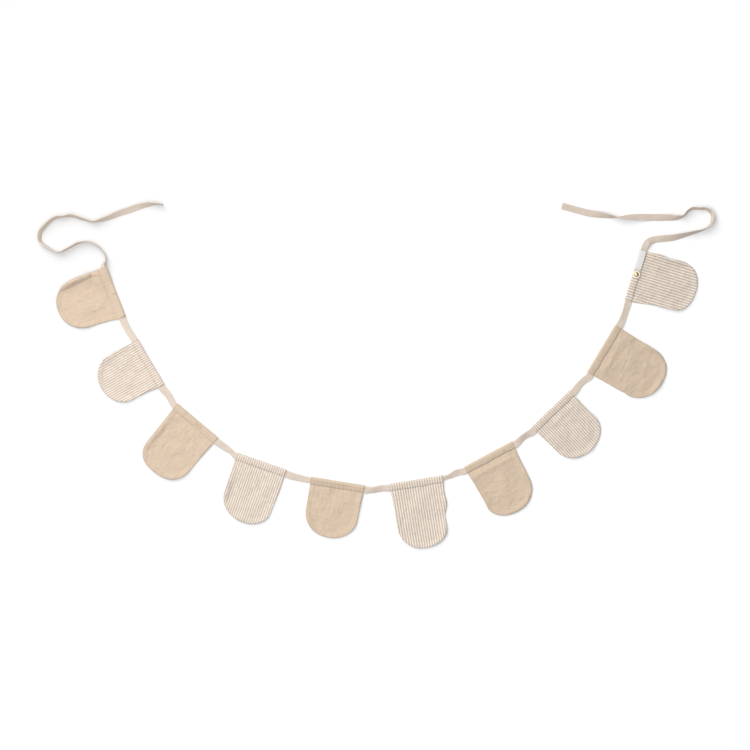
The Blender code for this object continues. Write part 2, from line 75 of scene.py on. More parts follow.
# Finish of the flags
EDGE_ROUND = 1.4          # rounding of a turned edge
SEAM_WIDE = 9.0           # turned allowance inside the edge
SEAM_RISE = 0.42
SEWN_PITCH, SEWN_REACH, SEWN_RISE = 6.0, 6.5, 0.24    # ripple along the sewn edge
CREASE_CELL, CREASE_FROM, CREASE_RISE = 26.0, 0.80, 0.5
STRIPE_RISE = 0.09        # the cream rows stand over the beige ones
GRID = 1.15               # spacing of the cloth's mesh
EDGE_STEPS = (0.0, 0.2, 0.55, 1.0, 1.6, 2.5, 3.8, 5.3, 6.8, 8.0, 9.2, 10.4)
EDGE_SAMPLES = 420
RING_POINTS = 30          # points round a casing
RIM_LIFT = 2.9            # the sewn edge stands off the surface at its foot
RIM_LIFT_IN = 15.0
GROOVE_WIDE = 1.7
PUCKER_REACH = 6.0
STITCH_PITCH, STITCH_GAP = 3.1, 0.7
TACK_WIDE, TACK_STEP = 1.3, 0.72

# Wrinkles of the upper face: size across and along, height, in millimetres
WRINKLE_ROWS = (
    (30.0, 30.0, 1.15),
    (15.0, 15.0, 0.72),
    (5.0, 17.0, 0.30),
    (17.0, 5.0, 0.30),
    (6.5, 6.5, 0.27),
    (3.4, 3.4, 0.11),
)

FINE = 7.0                # wrinkles smaller than this count as weave

# Each flag: how far its casing rises over its flat height, how far the seam
# wanders, the height and spacing of its puckers, the depth of its pressed line,
# its thread, and how strongly the weave and the small creases show
FINISH_COLUMNS = ("crest", "wander", "pucker", "pitch", "groove", "thread", "weave")
FINISH_ROWS = {
    "flag_01": (0.9, 0.4, 0.35, 7.5, 0.10, "pale", 1.50),
    "flag_02": (0.8, 0.2, 0.15, 5.08, 0.06, "pale", 0.45),
    "flag_03": (0.8, 0.3, 0.35, 6.5, 0.20, "pale", 1.65),
    "flag_04": (1.0, 0.3, 0.28, 5.03, 0.45, "dark", 0.40),
    "flag_05": (2.6, 0.5, 0.60, 9.0, 0.50, "dark", 1.15),
    "flag_06": (1.0, 0.4, 0.40, 5.58, 0.35, "dark", 0.50),
    "flag_07": (0.8, 0.8, 0.60, 14.0, 0.55, "dark", 1.10),
    "flag_08": (0.6, 0.6, 0.65, 5.15, 0.60, "dark", 0.35),
    "flag_09": (0.5, 0.9, 0.80, 12.0, 0.50, "dark", 1.30),
    "flag_10": (0.0, 0.3, 0.24, 6.01, 0.25, "dark", 0.60),
}
FINISH = {name: dict(zip(FINISH_COLUMNS, row)) for name, row in FINISH_ROWS.items()}

# Short rows of dense stitches across a casing: place across, drop from, to
TACK_COLUMNS = ("flag", "across", "from", "to", "thread")
TACK_ROWS = (
    ("flag_01", 2.5, 1.2, 11.5, "tack"),
    ("flag_01", 56.0, 1.2, 9.0, "tack"),
    ("flag_02", 5.0, 0.8, 4.5, "tack"),
    ("flag_03", 1.5, 3.0, 11.0, "pale"),
    ("flag_03", 8.0, 5.0, 12.5, "pale"),
    ("flag_03", 14.5, 3.5, 12.0, "pale"),
    ("flag_05", 2.0, 4.0, 12.5, "pale"),
    ("flag_05", 12.0, 4.0, 13.0, "pale"),
    ("flag_07", 3.3, 7.0, 13.0, "tack"),
    ("flag_07", 35.0, 7.0, 12.5, "pale"),
)
TACKS = [dict(zip(TACK_COLUMNS, row)) for row in TACK_ROWS]

# A strip of flag_01 along its a side is turned up into a roll with a crease
STRIP_FLAG = "flag_01"
STRIP_CREASE = -49.0      # place across at the strip's upper end
STRIP_SLANT = 0.077       # and its drift down the drop
STRIP_FROM, STRIP_FADE, STRIP_TO = 37.0, 96.0, 126.0
STRIP_SLOPE = 4.4         # the inner slope rises over about this width
STRIP_RISE = 7.5

FLAG_COLUMNS = (
    "name", "cloth", "x", "y", "turn", "top", "drop", "tip", "casing",
    "a_wide", "a_from", "a_round", "b_wide", "b_from", "b_round",
    "a_up", "b_up", "a_open", "b_open",
)
FLAG_ROWS = (
    ("flag_01", "plain", -569.0, 183.5, -68.7, 117.0, 134.5, -6.0, 20.0,
     60.0, 76.0, 2.15, 51.5, 74.0, 2.10, 7.0, 0.5, 0.60, 1.00),
    ("flag_02", "striped", -492.0, 29.5, -59.5, 114.0, 124.0, -5.0, 16.4,
     59.0, 74.0, 2.00, 51.0, 76.0, 2.05, 1.5, 1.0, 0.85, 1.00),
    ("flag_03", "plain", -389.5, -100.0, -40.1, 116.5, 148.5, -8.0, 16.4,
     55.5, 100.0, 2.40, 57.0, 95.0, 2.40, 1.0, 1.5, 0.84, 0.94),
    ("flag_04", "striped", -249.0, -189.5, -19.1, 115.5, 140.0, 7.0, 16.4,
     55.0, 88.0, 2.15, 55.5, 100.0, 2.00, 1.0, 1.0, 0.80, 1.00),
    ("flag_05", "plain", -81.5, -233.5, -9.1, 118.0, 125.0, -1.0, 16.4,
     59.5, 70.0, 2.15, 55.5, 76.0, 2.10, 1.0, 1.5, 0.76, 1.00),
    ("flag_06", "striped", 90.0, -230.0, 9.3, 118.0, 151.0, -3.0, 16.4,
     57.0, 98.0, 2.10, 50.0, 112.0, 2.20, 1.5, 1.0, 0.86, 0.62),
    ("flag_07", "plain", 248.5, -174.0, 28.1, 118.0, 142.0, -3.0, 16.6,
     55.5, 104.0, 1.95, 55.0, 88.0, 2.10, 1.0, 1.0, 0.90, 1.00),
    ("flag_08", "striped", 386.0, -74.0, 43.8, 116.0, 127.5, 0.0, 16.4,
     54.5, 78.0, 2.00, 57.5, 80.0, 2.15, 1.0, 1.0, 1.00, 1.00),
    ("flag_09", "plain", 497.5, 58.5, 59.2, 119.5, 153.5, 0.0, 16.8,
     58.5, 100.0, 2.00, 58.0, 100.0, 2.30, 1.0, 1.0, 1.00, 1.00),
    ("flag_10", "striped", 566.0, 220.5, 72.9, 116.0, 144.0, 8.0, 16.4,
     47.5, 106.0, 2.30, 59.5, 98.0, 2.15, 0.0, 0.0, 1.00, 0.98),
)
FLAGS = [dict(zip(FLAG_COLUMNS, row)) for row in FLAG_ROWS]

# Waves in a flag's a or b edge: drop of the middle, half length, how far out
EDGES = {
    ("flag_01", "b"): ((32.0, 16.0, -1.0),),
    ("flag_02", "a"): ((28.0, 8.0, -1.2),),
    ("flag_04", "a"): ((30.0, 12.0, -1.5),),
    ("flag_04", "b"): ((50.0, 22.0, 1.5),),
    ("flag_05", "b"): ((22.0, 8.0, 0.8),),
    ("flag_06", "b"): ((62.0, 20.0, 4.5), (86.0, 9.0, -1.5),),
    ("flag_06", "a"): ((60.0, 7.0, -1.2),),
    ("flag_07", "a"): ((106.0, 9.0, 1.0),),
    ("flag_08", "b"): ((80.0, 8.0, 1.2),),
    ("flag_09", "a"): ((92.0, 8.0, -1.0),),
    ("flag_10", "b"): ((45.0, 14.0, 1.2), (70.0, 10.0, -1.2),),
    ("flag_10", "a"): ((68.0, 10.0, -1.0),),
}

# Soft folds of each flag: from (u1, v1) to (u2, v2), width, rise
FOLDS = {
    "flag_01": (
        (12.0, 60.0, 30.0, 104.0, 12.0, 1.2),),
    "flag_02": (
        (-60.0, 30.0, -56.0, 92.0, 9.0, 3.0),
        (20.0, 34.0, 12.0, 84.0, 10.0, 1.0),),
    "flag_03": (
        (-52.0, 36.0, -50.0, 112.0, 7.0, 3.2),
        (-20.0, 92.0, 26.0, 62.0, 11.0, 1.8),),
    "flag_04": (
        (-56.0, 44.0, -50.0, 104.0, 8.0, 2.5),
        (30.0, 40.0, 22.0, 100.0, 12.0, 1.4),),
    "flag_05": (
        (56.0, 30.0, 55.0, 86.0, 7.0, 2.4),
        (-24.0, 52.0, 22.0, 66.0, 12.0, 1.2),),
    "flag_06": (
        (58.0, 44.0, 56.0, 76.0, 9.0, 2.6),
        (50.0, 98.0, 40.0, 132.0, 9.0, 2.2),
        (-14.0, 40.0, -4.0, 104.0, 13.0, 1.4),),
    "flag_07": (
        (-54.0, 30.0, 48.0, 30.0, 6.0, 1.8),
        (54.0, 46.0, 52.0, 96.0, 8.0, 2.6),
        (8.0, 56.0, -10.0, 112.0, 12.0, 1.4),),
    "flag_08": (
        (-50.0, 29.0, 52.0, 29.0, 6.0, 1.6),
        (56.0, 60.0, 54.0, 94.0, 8.0, 3.0),),
    "flag_09": (
        (-54.0, 32.0, 54.0, 31.0, 7.0, 2.2),
        (18.0, 60.0, -14.0, 96.0, 12.0, 2.0),
        (56.0, 70.0, 54.0, 118.0, 9.0, 3.0),),
    "flag_10": (
        (58.0, 32.0, 58.0, 104.0, 8.0, 2.8),
        (-50.0, 64.0, -45.0, 112.0, 9.0, 2.4),),
}

# Tape outside the casings. Ties: x, y, roll, and the height of the first few
# rows over the surface. Links: x, y, roll, height, share of the width
FIRST_TIE = (
    (-596.5, 243.5, -66.0), (-592.0, 251.0, -80.0), (-591.5, 260.0, -89.0),
    (-597.5, 270.5, -88.0), (-612.0, 286.5, -86.0), (-631.0, 294.0, -90.0),
    (-653.0, 290.0, -74.0), (-676.0, 278.0, -78.0), (-696.0, 270.5, -90.0),
    (-721.0, 283.0, -96.0), (-736.0, 295.0, -118.0), (-735.5, 312.5, -128.0),
    (-725.5, 326.5, -118.0), (-701.5, 345.5, -110.0), (-686.0, 348.0, -92.0),
    (-670.0, 350.0, -115.0), (-645.0, 343.5, -108.0), (-619.0, 337.0, -91.0),
    (-592.0, 343.5, -128.0), (-562.0, 355.5, -148.0), (-540.0, 363.0, -152.0),
    (-522.5, 369.0, -150.0), (-500.0, 374.5, -132.0), (-484.0, 376.0, -106.0),
    (-466.0, 374.5, -94.0),
)
FIRST_TIE_UP = (1.5, 1.0, 0.5)
LAST_TIE = (
    (594.5, 284.5, -18.0), (599.5, 292.5, -30.0), (609.0, 296.5, -6.0),
    (636.0, 300.0, 14.0), (656.0, 302.0, 28.0), (675.0, 306.5, 45.0), (700.0, 313.5, 63.0),
    (722.0, 320.5, 80.0), (736.0, 331.0, 100.0), (741.5, 345.0, 108.0),
    (738.0, 358.0, 114.0), (727.5, 364.5, 106.0), (712.0, 365.0, 106.0),
    (698.0, 365.5, 113.0), (687.5, 359.5, 107.0), (678.5, 349.5, 105.0),
    (664.0, 345.5, 128.0), (650.0, 346.0, 152.0), (620.0, 346.5, 173.0),
    (580.0, 347.5, 197.0), (554.0, 348.0, 234.0), (534.0, 347.0, 268.0),
    (517.0, 349.0, 299.0), (500.0, 351.5, 326.0), (473.0, 355.5, 352.0),
    (440.0, 364.0, 360.0), (411.0, 372.0, 360.0),
)
LAST_TIE_UP = (0.4, 0.4, 0.2)
LINKS = {
    1: ((-547.2, 105.4, 10.0, 0.0, 1.0),),
    2: ((-454.6, -45.2, 18.0, 0.0, 1.0),),
    3: ((-328.1, -161.1, 12.0, 0.0, 1.0), (-317.2, -168.9, 14.0, 0.0, 0.72)),
    4: ((-168.0, -226.3, 16.0, 0.0, 1.0),),
    5: ((-5.4, -253.4, 24.0, 0.0, 1.0), (11.9, -250.1, 14.0, 0.0, 1.0)),
    6: ((158.0, -225.0, 22.0, 0.0, 0.68), (179.3, -215.7, 12.0, 0.0, 1.0)),
    7: ((328.1, -136.0, 26.0, 0.0, 1.0),),
    8: ((453.6, -17.9, 8.0, 0.0, 1.0),),
    9: ((550.4, 136.6, 10.0, 0.0, 1.0),),
}

# Stripes of each striped flag: spacing, and where one beige stripe lies across
STRIPES = {
    "flag_02": {"pitch": 5.08, "at": 0.5},
    "flag_04": {"pitch": 5.03, "at": 1.4},
    "flag_06": {"pitch": 5.58, "at": 1.6},
    "flag_08": {"pitch": 5.15, "at": -2.1},
    "flag_10": {"pitch": 6.01, "at": -1.0},
}

LABEL_FROM, LABEL_TO = 15.0, 57.5
LABEL_IN = 14.6
LABEL_THICK = 0.8
STUD_ACROSS, STUD_DOWN = 2.9, 8.4
DISC_WIDE, DISC_THICK = 16.4, 0.8
DOME_WIDE, DOME_HIGH = 10.8, 3.0
RIM_HIGH = 0.5

# Colours, linear
PLAIN = (0.515, 0.405, 0.303)
CREAM = (0.662, 0.586, 0.508)
BEIGE = (0.425, 0.350, 0.283)
TAPE_COLOUR = (0.580, 0.490, 0.410)
LABEL_COLOUR = (0.650, 0.632, 0.608)
# the dark thread is partly its own tone and partly painted shade of the seam lines it lies
# along
THREAD_COLOURS = {
    "pale": (0.440, 0.345, 0.255),
    "dark": (0.260, 0.195, 0.135),
    "tack": (0.270, 0.195, 0.130),
}
DISC_COLOUR = (0.740, 0.725, 0.695)
BRASS = (0.720, 0.500, 0.240)

# Tone of the muslin: its middle, and what each kind of noise adds to it
MUSLIN_TONE, BLOTCH_TONE, STREAK_TONE, SLUB_TONE, WEAVE_TONE = 0.965, 0.12, 0.17, 0.06, 0.05
RIM_SHADE_TONE, RIM_SHADE_DEEPER = 0.07, 0.20     # painted shade: the turned edge is darker and deeper in colour, as it lies in shade and passes into the face over this distance
RIM_SHADE_RUN = (0.6, 2.6)                  # and passes into the face over this distance
MUSLIN_THREAD = 0.9                   # spacing of its threads
STRIPE_WOBBLE = 2.8
STRIPE_EDGE = (-0.30, 0.45)           # share of a stripe's wave where it starts, is full
STRIPE_FADE, STRIPE_LEAST = 0.5, 0.70
LAST_TIE_SHADE_FROM = (2140.0, 2240.0)        # painted shade: the last tie is a little darker than the rest, as the light falls off there
LAST_TIE_SHADE = 0.055

# Noise of the cloths: scale across and along, detail, roughness
NOISE_ROWS = {
    "streak_down": (0.34, 0.07, 2.0, 0.5),
    "streak_over": (0.07, 0.34, 2.0, 0.5),
    "slub_down": (1.9, 0.10, 2.0, 0.5),
    "slub_over": (0.10, 1.9, 2.0, 0.5),
    "crinkle": (0.30, 0.13, 4.0, 0.6),
    "wobble": (0.07, 0.11, 3.0, 0.5),
    "tape_blotch": (0.02, 0.12, 3.0, 0.5),
    "tape_streak": (0.03, 1.1, 2.0, 0.5),
    "tape_grain": (0.35, 0.45, 3.0, 0.5),
}

# Fine relief of the finishes: strength, height in metres
RELIEF_ROWS = {
    "crinkle": (0.55, 0.0016),
    "slub": (0.30, 0.0004),
    "weave": (0.45, 0.0002),
    "tape_streak": (0.35, 0.0005),
    "twill": (0.5, 0.0003),
    "twist": (0.4, 0.0001),
    "label_rows": (0.5, 0.00015),
    "speck": (0.08, 0.00005),
}

# Tone of the paper: in the middle, and what it gains to the right, upwards and
# towards all four sides, a metre from the middle
FLOOR_HALF = 6.0
FLOOR_MIDDLE = 0.752
FLOOR_RIGHT = 0.134
FLOOR_UP = -0.092
FLOOR_OUT = 0.066
FLOOR_MOST = 0.96

# Lights, in metres and watts; each faces the middle of the surface
LIGHT_COLUMNS = ("name", "spot", "size", "power", "colour")
LIGHT_ROWS = (
    ("key", (-2.2, 2.9, 2.8), 3.3, 150.0, (1.0, 0.98, 0.95)),
    ("top", (-0.45, -0.05, 2.15), 2.0, 36.0, (1.0, 0.99, 0.975)),
)
LIGHTS = [dict(zip(LIGHT_COLUMNS, row)) for row in LIGHT_ROWS]
WORLD_COLOUR, WORLD_STRENGTH = (0.93, 0.97, 1.03), 0.465


def smooth(t):
    t = np.clip(t, 0.0, 1.0)
    return t * t * (3.0 - 2.0 * t)


def resample(points, fractions):
    points = np.asarray(points, float)
    steps = np.linalg.norm(np.diff(points, axis=0), axis=1)
    along = np.concatenate(([0.0], np.cumsum(steps)))
    at = np.asarray(fractions) * along[-1]
    return np.column_stack([np.interp(at, along, c) for c in points.T])


def lattice_noise(u, v, cell, seed):
    """Smooth noise from -1 to 1 on a square lattice of the given cell."""
    table = np.random.default_rng(seed).uniform(-1.0, 1.0, (64, 64))
    x, y = np.asarray(u) / cell + 32.0, np.asarray(v) / cell + 32.0
    i, j = np.floor(x).astype(int), np.floor(y).astype(int)
    s, t = smooth(x - i), smooth(y - j)
    i, j = i % 64, j % 64
    k, m = (i + 1) % 64, (j + 1) % 64
    low = table[i, j] * (1 - s) + table[k, j] * s
    high = table[i, m] * (1 - s) + table[k, m] * s
    return low * (1 - t) + high * t


def side_edge(flag, side, samples=160):
    top = flag["top"] / 2
    wide, start = flag[side + "_wide"], flag[side + "_from"]
    power = 2.0 / flag[side + "_round"]
    lean = -flag["tip"] if side == "a" else flag["tip"]
    across, deep = wide - lean, flag["drop"] - start
    straight = np.linspace(0.0, 1.0, samples)
    u = top + (wide - top) * (1.0 - (1.0 - straight) ** 1.5)
    v = flag["casing"] + (start - flag["casing"]) * straight
    angle = np.linspace(0.0, math.pi / 2, samples)[1:]
    u = np.concatenate((u, lean + across * np.cos(angle) ** power))
    v = np.concatenate((v, start + deep * np.sin(angle) ** power))
    for at, half, out in EDGES.get((flag["name"], side), ()):
        u = u + out * np.exp(-(((v - at) / half) ** 2))
    corner = samples + int(samples * 0.46)
    return np.column_stack((u, v)), corner


def outline(flag):
    """Whole lower edge of the flag, from the a end of its seam to the b end."""
    a_points, _ = side_edge(flag, "a")
    b_points, _ = side_edge(flag, "b")
    a_points[:, 0] *= -1.0
    return np.vstack((a_points, b_points[:-1][::-1]))


def body_grid(flag, shares, drops):
    a_points, a_corner = side_edge(flag, "a")
    b_points, b_corner = side_edge(flag, "b")
    a_points[:, 0] *= -1.0
    left = resample(a_points[: a_corner + 1], drops)
    right = resample(b_points[: b_corner + 1], drops)
    arc = np.vstack((a_points[a_corner:], b_points[b_corner:-1][::-1]))
    bottom = resample(arc, shares)
    top = resample([left[0], right[0]], shares)
    s, t = shares[:, None, None], drops[None, :, None]
    corners = (
        (1 - s) * (1 - t) * left[0] + s * (1 - t) * right[0]
        + (1 - s) * t * left[-1] + s * t * right[-1]
    )
    return (
        (1 - t) * top[:, None] + t * bottom[:, None]
        + (1 - s) * left[None] + s * right[None] - corners
    )


def casing_lift(flag, u):
    half = flag["top"] / 2
    a_end = smooth((-u - 4.0) / (half - 4.0))
    b_end = smooth((u - 4.0) / (half - 4.0))
    return flag["a_up"] * a_end + flag["b_up"] * b_end


def fold_lift(flag, u, v):
    lift = casing_lift(flag, u) * (1.0 - smooth((v - flag["casing"]) / CASING_FADE))
    for u1, v1, u2, v2, wide, rise in FOLDS[flag["name"]]:
        du, dv = u2 - u1, v2 - v1
        share = ((u - u1) * du + (v - v1) * dv) / (du * du + dv * dv)
        share = np.clip(share, 0.0, 1.0)
        away = np.hypot(u - u1 - share * du, v - v1 - share * dv)
        taper = 0.35 + 0.65 * np.sin(math.pi * share)
        height = rise * taper * np.exp(-((away / wide) ** 2))
        height = np.where(height > FOLD_DIES, height, 0.0)
        lift = lift + height * smooth((v - flag["casing"]) / SEAM_HOLD)
    return lift


def axes(flag):
    angle = math.radians(flag["turn"])
    across = np.array((math.cos(angle), math.sin(angle)))
    return across, np.array((across[1], -across[0]))


def place(flag, u, v, z):
    """World points in metres from flag coordinates in millimetres."""
    across, down = axes(flag)
    u, v, z = np.broadcast_arrays(u, v, z)
    x = flag["x"] + u * across[0] + v * down[0]
    y = flag["y"] + u * across[1] + v * down[1]
    return np.stack((x, y, z), axis=-1) * MM


# Materials

class Nodes:
    """Adds and links the nodes of one material."""

    def __init__(self, name):
        self.material = bpy.data.materials.new(name)
        self.material.use_nodes = True
        self.tree = self.material.node_tree
        self.shader = self.tree.nodes["Principled BSDF"]

    def feed(self, socket, value):
        if isinstance(value, bpy.types.NodeSocket):
            self.tree.links.new(value, socket)
        else:
            socket.default_value = value

    def add(self, kind, inputs=None, **values):
        """New node with its settings and what its inputs take."""
        node = self.tree.nodes.new(kind)
        for key, value in values.items():
            setattr(node, key, value)
        for key, value in (inputs or {}).items():
            self.feed(node.inputs[key], value)
        return node

    def surface(self, **values):
        """Feeds the shader; an underscore stands for a space in an input's name."""
        for name, value in values.items():
            self.feed(self.shader.inputs[name.replace("_", " ")], value)

    def math(self, operation, a, b=0.0, c=0.0):
        inputs = {0: a, 1: b, 2: c}
        return self.add("ShaderNodeMath", inputs, operation=operation).outputs[0]

    def total(self, value, *parts):
        """The value and each part times its weight."""
        for part, weight in parts:
            value = self.math("MULTIPLY_ADD", part, weight, value)
        return value

    def wave(self, value, pitch, operation="SINE"):
        return self.math(operation, self.math("MULTIPLY", value, 2 * math.pi / pitch))

    def mix(self, share, a, b):
        inputs = {0: share, 6: (*a, 1.0), 7: (*b, 1.0)}
        return self.add("ShaderNodeMix", inputs, data_type="RGBA").outputs[2]

    def noise(self, vector, scale, detail=3.0, roughness=0.5):
        inputs = {"Vector": vector, "Scale": scale, "Detail": detail,
                  "Roughness": roughness}
        return self.add("ShaderNodeTexNoise", inputs).outputs["Fac"]

    def grain(self, vector, kind):
        """Noise of one kind, with its own scales across and along the cloth."""
        across, along, detail, roughness = NOISE_ROWS[kind]
        inputs = {"Vector": vector, "Scale": (across, along, 1.0)}
        spot = self.add("ShaderNodeMapping", inputs).outputs[0]
        return self.noise(spot, 1.0, detail, roughness)

    def ramp(self, value, low, high):
        inputs = {"Value": value, "From Min": low, "From Max": high}
        node = self.add("ShaderNodeMapRange", inputs, interpolation_type="SMOOTHSTEP")
        return node.outputs[0]

    def bump(self, height, kind, normal=None):
        strength, distance = RELIEF_ROWS[kind]
        inputs = {"Strength": strength, "Distance": distance, "Height": height}
        if normal is not None:
            inputs["Normal"] = normal
        return self.add("ShaderNodeBump", inputs).outputs[0]

    def tone(self, colour, value, saturation=1.0):
        """Base colour with its value and saturation changed."""
        if not isinstance(colour, bpy.types.NodeSocket):
            colour = (*colour, 1.0)
        inputs = {"Color": colour, "Value": value, "Saturation": saturation}
        node = self.add("ShaderNodeHueSaturation", inputs)
        self.surface(Base_Color=node.outputs[0])

    def cloth(self):
        """Cloth coordinates in millimetres: vector, and its three parts."""
        node = self.add("ShaderNodeAttribute", attribute_name="cloth")
        vector = node.outputs["Vector"]
        return (vector, *self.add("ShaderNodeSeparateXYZ", {0: vector}).outputs)


def threads(nodes, across, along, pitch):
    """Height of a plain weave of crossed threads."""
    crossing = nodes.math("MULTIPLY", nodes.wave(across, pitch), nodes.wave(along, pitch))
    return nodes.total(0.5, (crossing, 0.5))


def muslin(name, seed, strength, pitch=None, at=0.0):
    """Crinkled double muslin, plain or with stripes along the drop."""
    nodes = Nodes(name)
    vector, across, along, rim = nodes.cloth()
    inputs = {0: vector, 1: (seed * 131.0, seed * 57.0, 0.0)}
    spot = nodes.add("ShaderNodeVectorMath", inputs, operation="ADD").outputs[0]
    blotch = nodes.noise(spot, 0.045, 2.0)
    streaks = [nodes.grain(spot, kind) for kind in ("streak_down", "streak_over")]
    slubs = [nodes.grain(spot, kind) for kind in ("slub_down", "slub_over")]
    crinkle = nodes.grain(spot, "crinkle")
    weave = threads(nodes, across, along, MUSLIN_THREAD)
    colour = PLAIN
    if pitch:
        wobble = nodes.grain(spot, "wobble")
        shifted = nodes.math("SUBTRACT", nodes.total(across, (wobble, STRIPE_WOBBLE)),
                             at + STRIPE_WOBBLE / 2)
        stripe = nodes.ramp(nodes.wave(shifted, pitch, "COSINE"), *STRIPE_EDGE)
        faded = nodes.total(STRIPE_LEAST, (crinkle, STRIPE_FADE))
        stripe = nodes.math("MULTIPLY", stripe, nodes.math("MINIMUM", faded, 1.0))
        colour = nodes.mix(stripe, CREAM, BEIGE)
    streak, slub = STREAK_TONE * strength, SLUB_TONE * strength
    # painted shade: the face darkens and deepens in colour over the last few millimetres to
    # its edge
    turned = nodes.ramp(rim, *RIM_SHADE_RUN)
    value = nodes.total(
        MUSLIN_TONE - streak - slub - RIM_SHADE_TONE, (blotch, BLOTCH_TONE),
        (streaks[0], streak), (streaks[1], streak), (slubs[0], slub), (slubs[1], slub),
        (weave, WEAVE_TONE), (turned, RIM_SHADE_TONE))
    nodes.tone(colour, value, nodes.total(1.0 + RIM_SHADE_DEEPER, (turned, -RIM_SHADE_DEEPER)))
    relief = nodes.bump(crinkle, "crinkle")
    relief = nodes.bump(nodes.math("ADD", *slubs), "slub", relief)
    relief = nodes.bump(weave, "weave", relief)
    nodes.surface(Roughness=nodes.total(0.87, (slubs[0], 0.1)), Sheen_Weight=0.15,
                  Sheen_Roughness=0.6, Specular_IOR_Level=0.2, Normal=relief)
    return nodes.material


def tape_material():
    """Flat cotton tape: slanting twill with firmer edges, paler partly in their own tone and
    partly by a painted highlight.
    """
    nodes = Nodes("cotton_tape")
    vector, along, across, _ = nodes.cloth()
    twill = nodes.total(0.5, (nodes.wave(nodes.total(along, (across, 0.8)), 1.5), 0.5))
    weft = nodes.wave(across, 0.75)
    # the paler edges are partly the tape's own tone and partly a painted highlight where the
    # edges catch the light
    edge = nodes.ramp(nodes.math("ABSOLUTE", across), 5.9, 7.2)
    blotch = nodes.grain(vector, "tape_blotch")
    streak = nodes.grain(vector, "tape_streak")
    grain = nodes.grain(vector, "tape_grain")
    # painted shade darkens the tape along its last tie
    last_tie_shade = nodes.ramp(along, *LAST_TIE_SHADE_FROM)
    value = nodes.total(0.77, (blotch, 0.14), (grain, 0.16), (streak, 0.12),
                        (twill, 0.06), (edge, 0.12), (last_tie_shade, -LAST_TIE_SHADE))
    nodes.tone(TAPE_COLOUR, value)
    relief = nodes.bump(streak, "tape_streak")
    relief = nodes.bump(nodes.total(twill, (weft, 0.25)), "twill", relief)
    nodes.surface(Roughness=nodes.total(0.78, (streak, 0.12)), Sheen_Weight=0.12,
                  Specular_IOR_Level=0.25, Normal=relief)
    return nodes.material


def thread_material(name, colour):
    nodes = Nodes(name)
    twist = nodes.wave(nodes.cloth()[1], 0.5)
    nodes.tone(colour, nodes.total(0.97, (twist, 0.06)))
    nodes.surface(Roughness=0.7, Normal=nodes.bump(twist, "twist"))
    return nodes.material


def label_material():
    """Blank woven label in fine damask rows."""
    nodes = Nodes("woven_label")
    vector, across, along, _ = nodes.cloth()
    rows = threads(nodes, across, along, 0.6)
    blotch = nodes.noise(vector, 0.25)
    nodes.tone(LABEL_COLOUR, nodes.total(0.91, (rows, 0.06), (blotch, 0.06)))
    nodes.surface(Roughness=0.65, Sheen_Weight=0.1, Normal=nodes.bump(rows, "label_rows"))
    return nodes.material


def hard_material(name, colour, roughness, metallic, grain):
    nodes = Nodes(name)
    speck = nodes.noise(nodes.add("ShaderNodeTexCoord").outputs["Object"], 900.0)
    nodes.tone(colour, nodes.total(1 - grain / 2, (speck, grain)))
    nodes.surface(Roughness=nodes.total(roughness - 0.06, (speck, 0.12)),
                  Metallic=metallic, Normal=nodes.bump(speck, "speck"))
    return nodes.material


# Meshes

def add_piece(name, points, faces, material, cloth=None, node=None):
    """Mesh object that rides on the frame, with its cloth coordinates."""
    mesh = bpy.data.meshes.new(name)
    mesh.from_pydata([tuple(p) for p in points], [], faces)
    if cloth is not None:
        layer = mesh.attributes.new("cloth", "FLOAT_VECTOR", "POINT")
        layer.data.foreach_set("vector", np.asarray(cloth, float).ravel())
    bm = bmesh.new()
    bm.from_mesh(mesh)
    bmesh.ops.recalc_face_normals(bm, faces=bm.faces)
    bm.to_mesh(mesh)
    bm.free()
    mesh.materials.append(material)
    for polygon in mesh.polygons:
        polygon.use_smooth = True
    piece = bpy.data.objects.new(name, mesh)
    bpy.context.scene.collection.objects.link(piece)
    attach(piece, "root")
    if node:
        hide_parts(node)
    return piece


def join(faces, first, second, closed=True):
    """Quads between two rows of point numbers."""
    for k in range(len(first) if closed else len(first) - 1):
        after = (k + 1) % len(first)
        faces.append((first[k], first[after], second[after], second[k]))


def tube(faces, base, count, sides):
    """Joins rings of points that start at base, and returns their numbers."""
    rings = [tuple(range(base + n * sides, base + (n + 1) * sides)) for n in range(count)]
    for first, second in zip(rings, rings[1:]):
        join(faces, first, second)
    return rings


def cloth_shares(length, both):
    """Shares of a length, close together near its ends."""
    steps = np.array(EDGE_STEPS)
    start = steps if both else np.array((0.0,))
    inner = length - start[-1] - steps[-1]
    count = max(4, int(round(inner / GRID)))
    middle = np.linspace(start[-1], start[-1] + inner, count + 1)[1:-1]
    return np.concatenate((start, middle, (length - steps)[::-1])) / length


def casing_ring(flag):
    """Rounded outer profile of a casing, rows of (v, z) from the seam round."""
    deep, high = flag["casing"], CASING_HIGH
    groove, crest = FINISH[flag["name"]]["groove"], FINISH[flag["name"]]["crest"]
    shoulder = TUNNEL_DOWN + IN_CASING * TAPE_WIDE / 2 - CLEAR
    rows = (
        (deep, STITCH_CLOTH - groove),
        (deep - 0.33 * (deep - shoulder), 2.2), (shoulder, 3.1),
        (shoulder - 2.0, high - 0.2), (TUNNEL_DOWN, high + crest * 0.45),
        (4.6, high + crest), (2.8, high - 0.1 + crest * 0.65), (1.0, 3.3),
        (0.0, CASING_MID),
        (0.8, 0.7), (2.8, 0.0), (deep / 2, 0.0), (deep - 2.0, 0.0), (deep, 0.0),
    )
    upper = resample(rows[:9], np.linspace(0, 1, RING_POINTS // 2 + 1))
    lower = resample(rows[8:], np.linspace(0, 1, RING_POINTS // 2))
    return np.vstack((upper, lower[1:]))


def tunnel_ring():
    half, thick = IN_CASING * TAPE_WIDE / 2 + CLEAR, TAPE_THICK / 2 + CLEAR
    inner = half - TAPE_EDGE
    return (
        (half, 0.0), (inner, thick), (-inner, thick),
        (-half, 0.0), (-inner, -thick), (inner, -thick),
    )


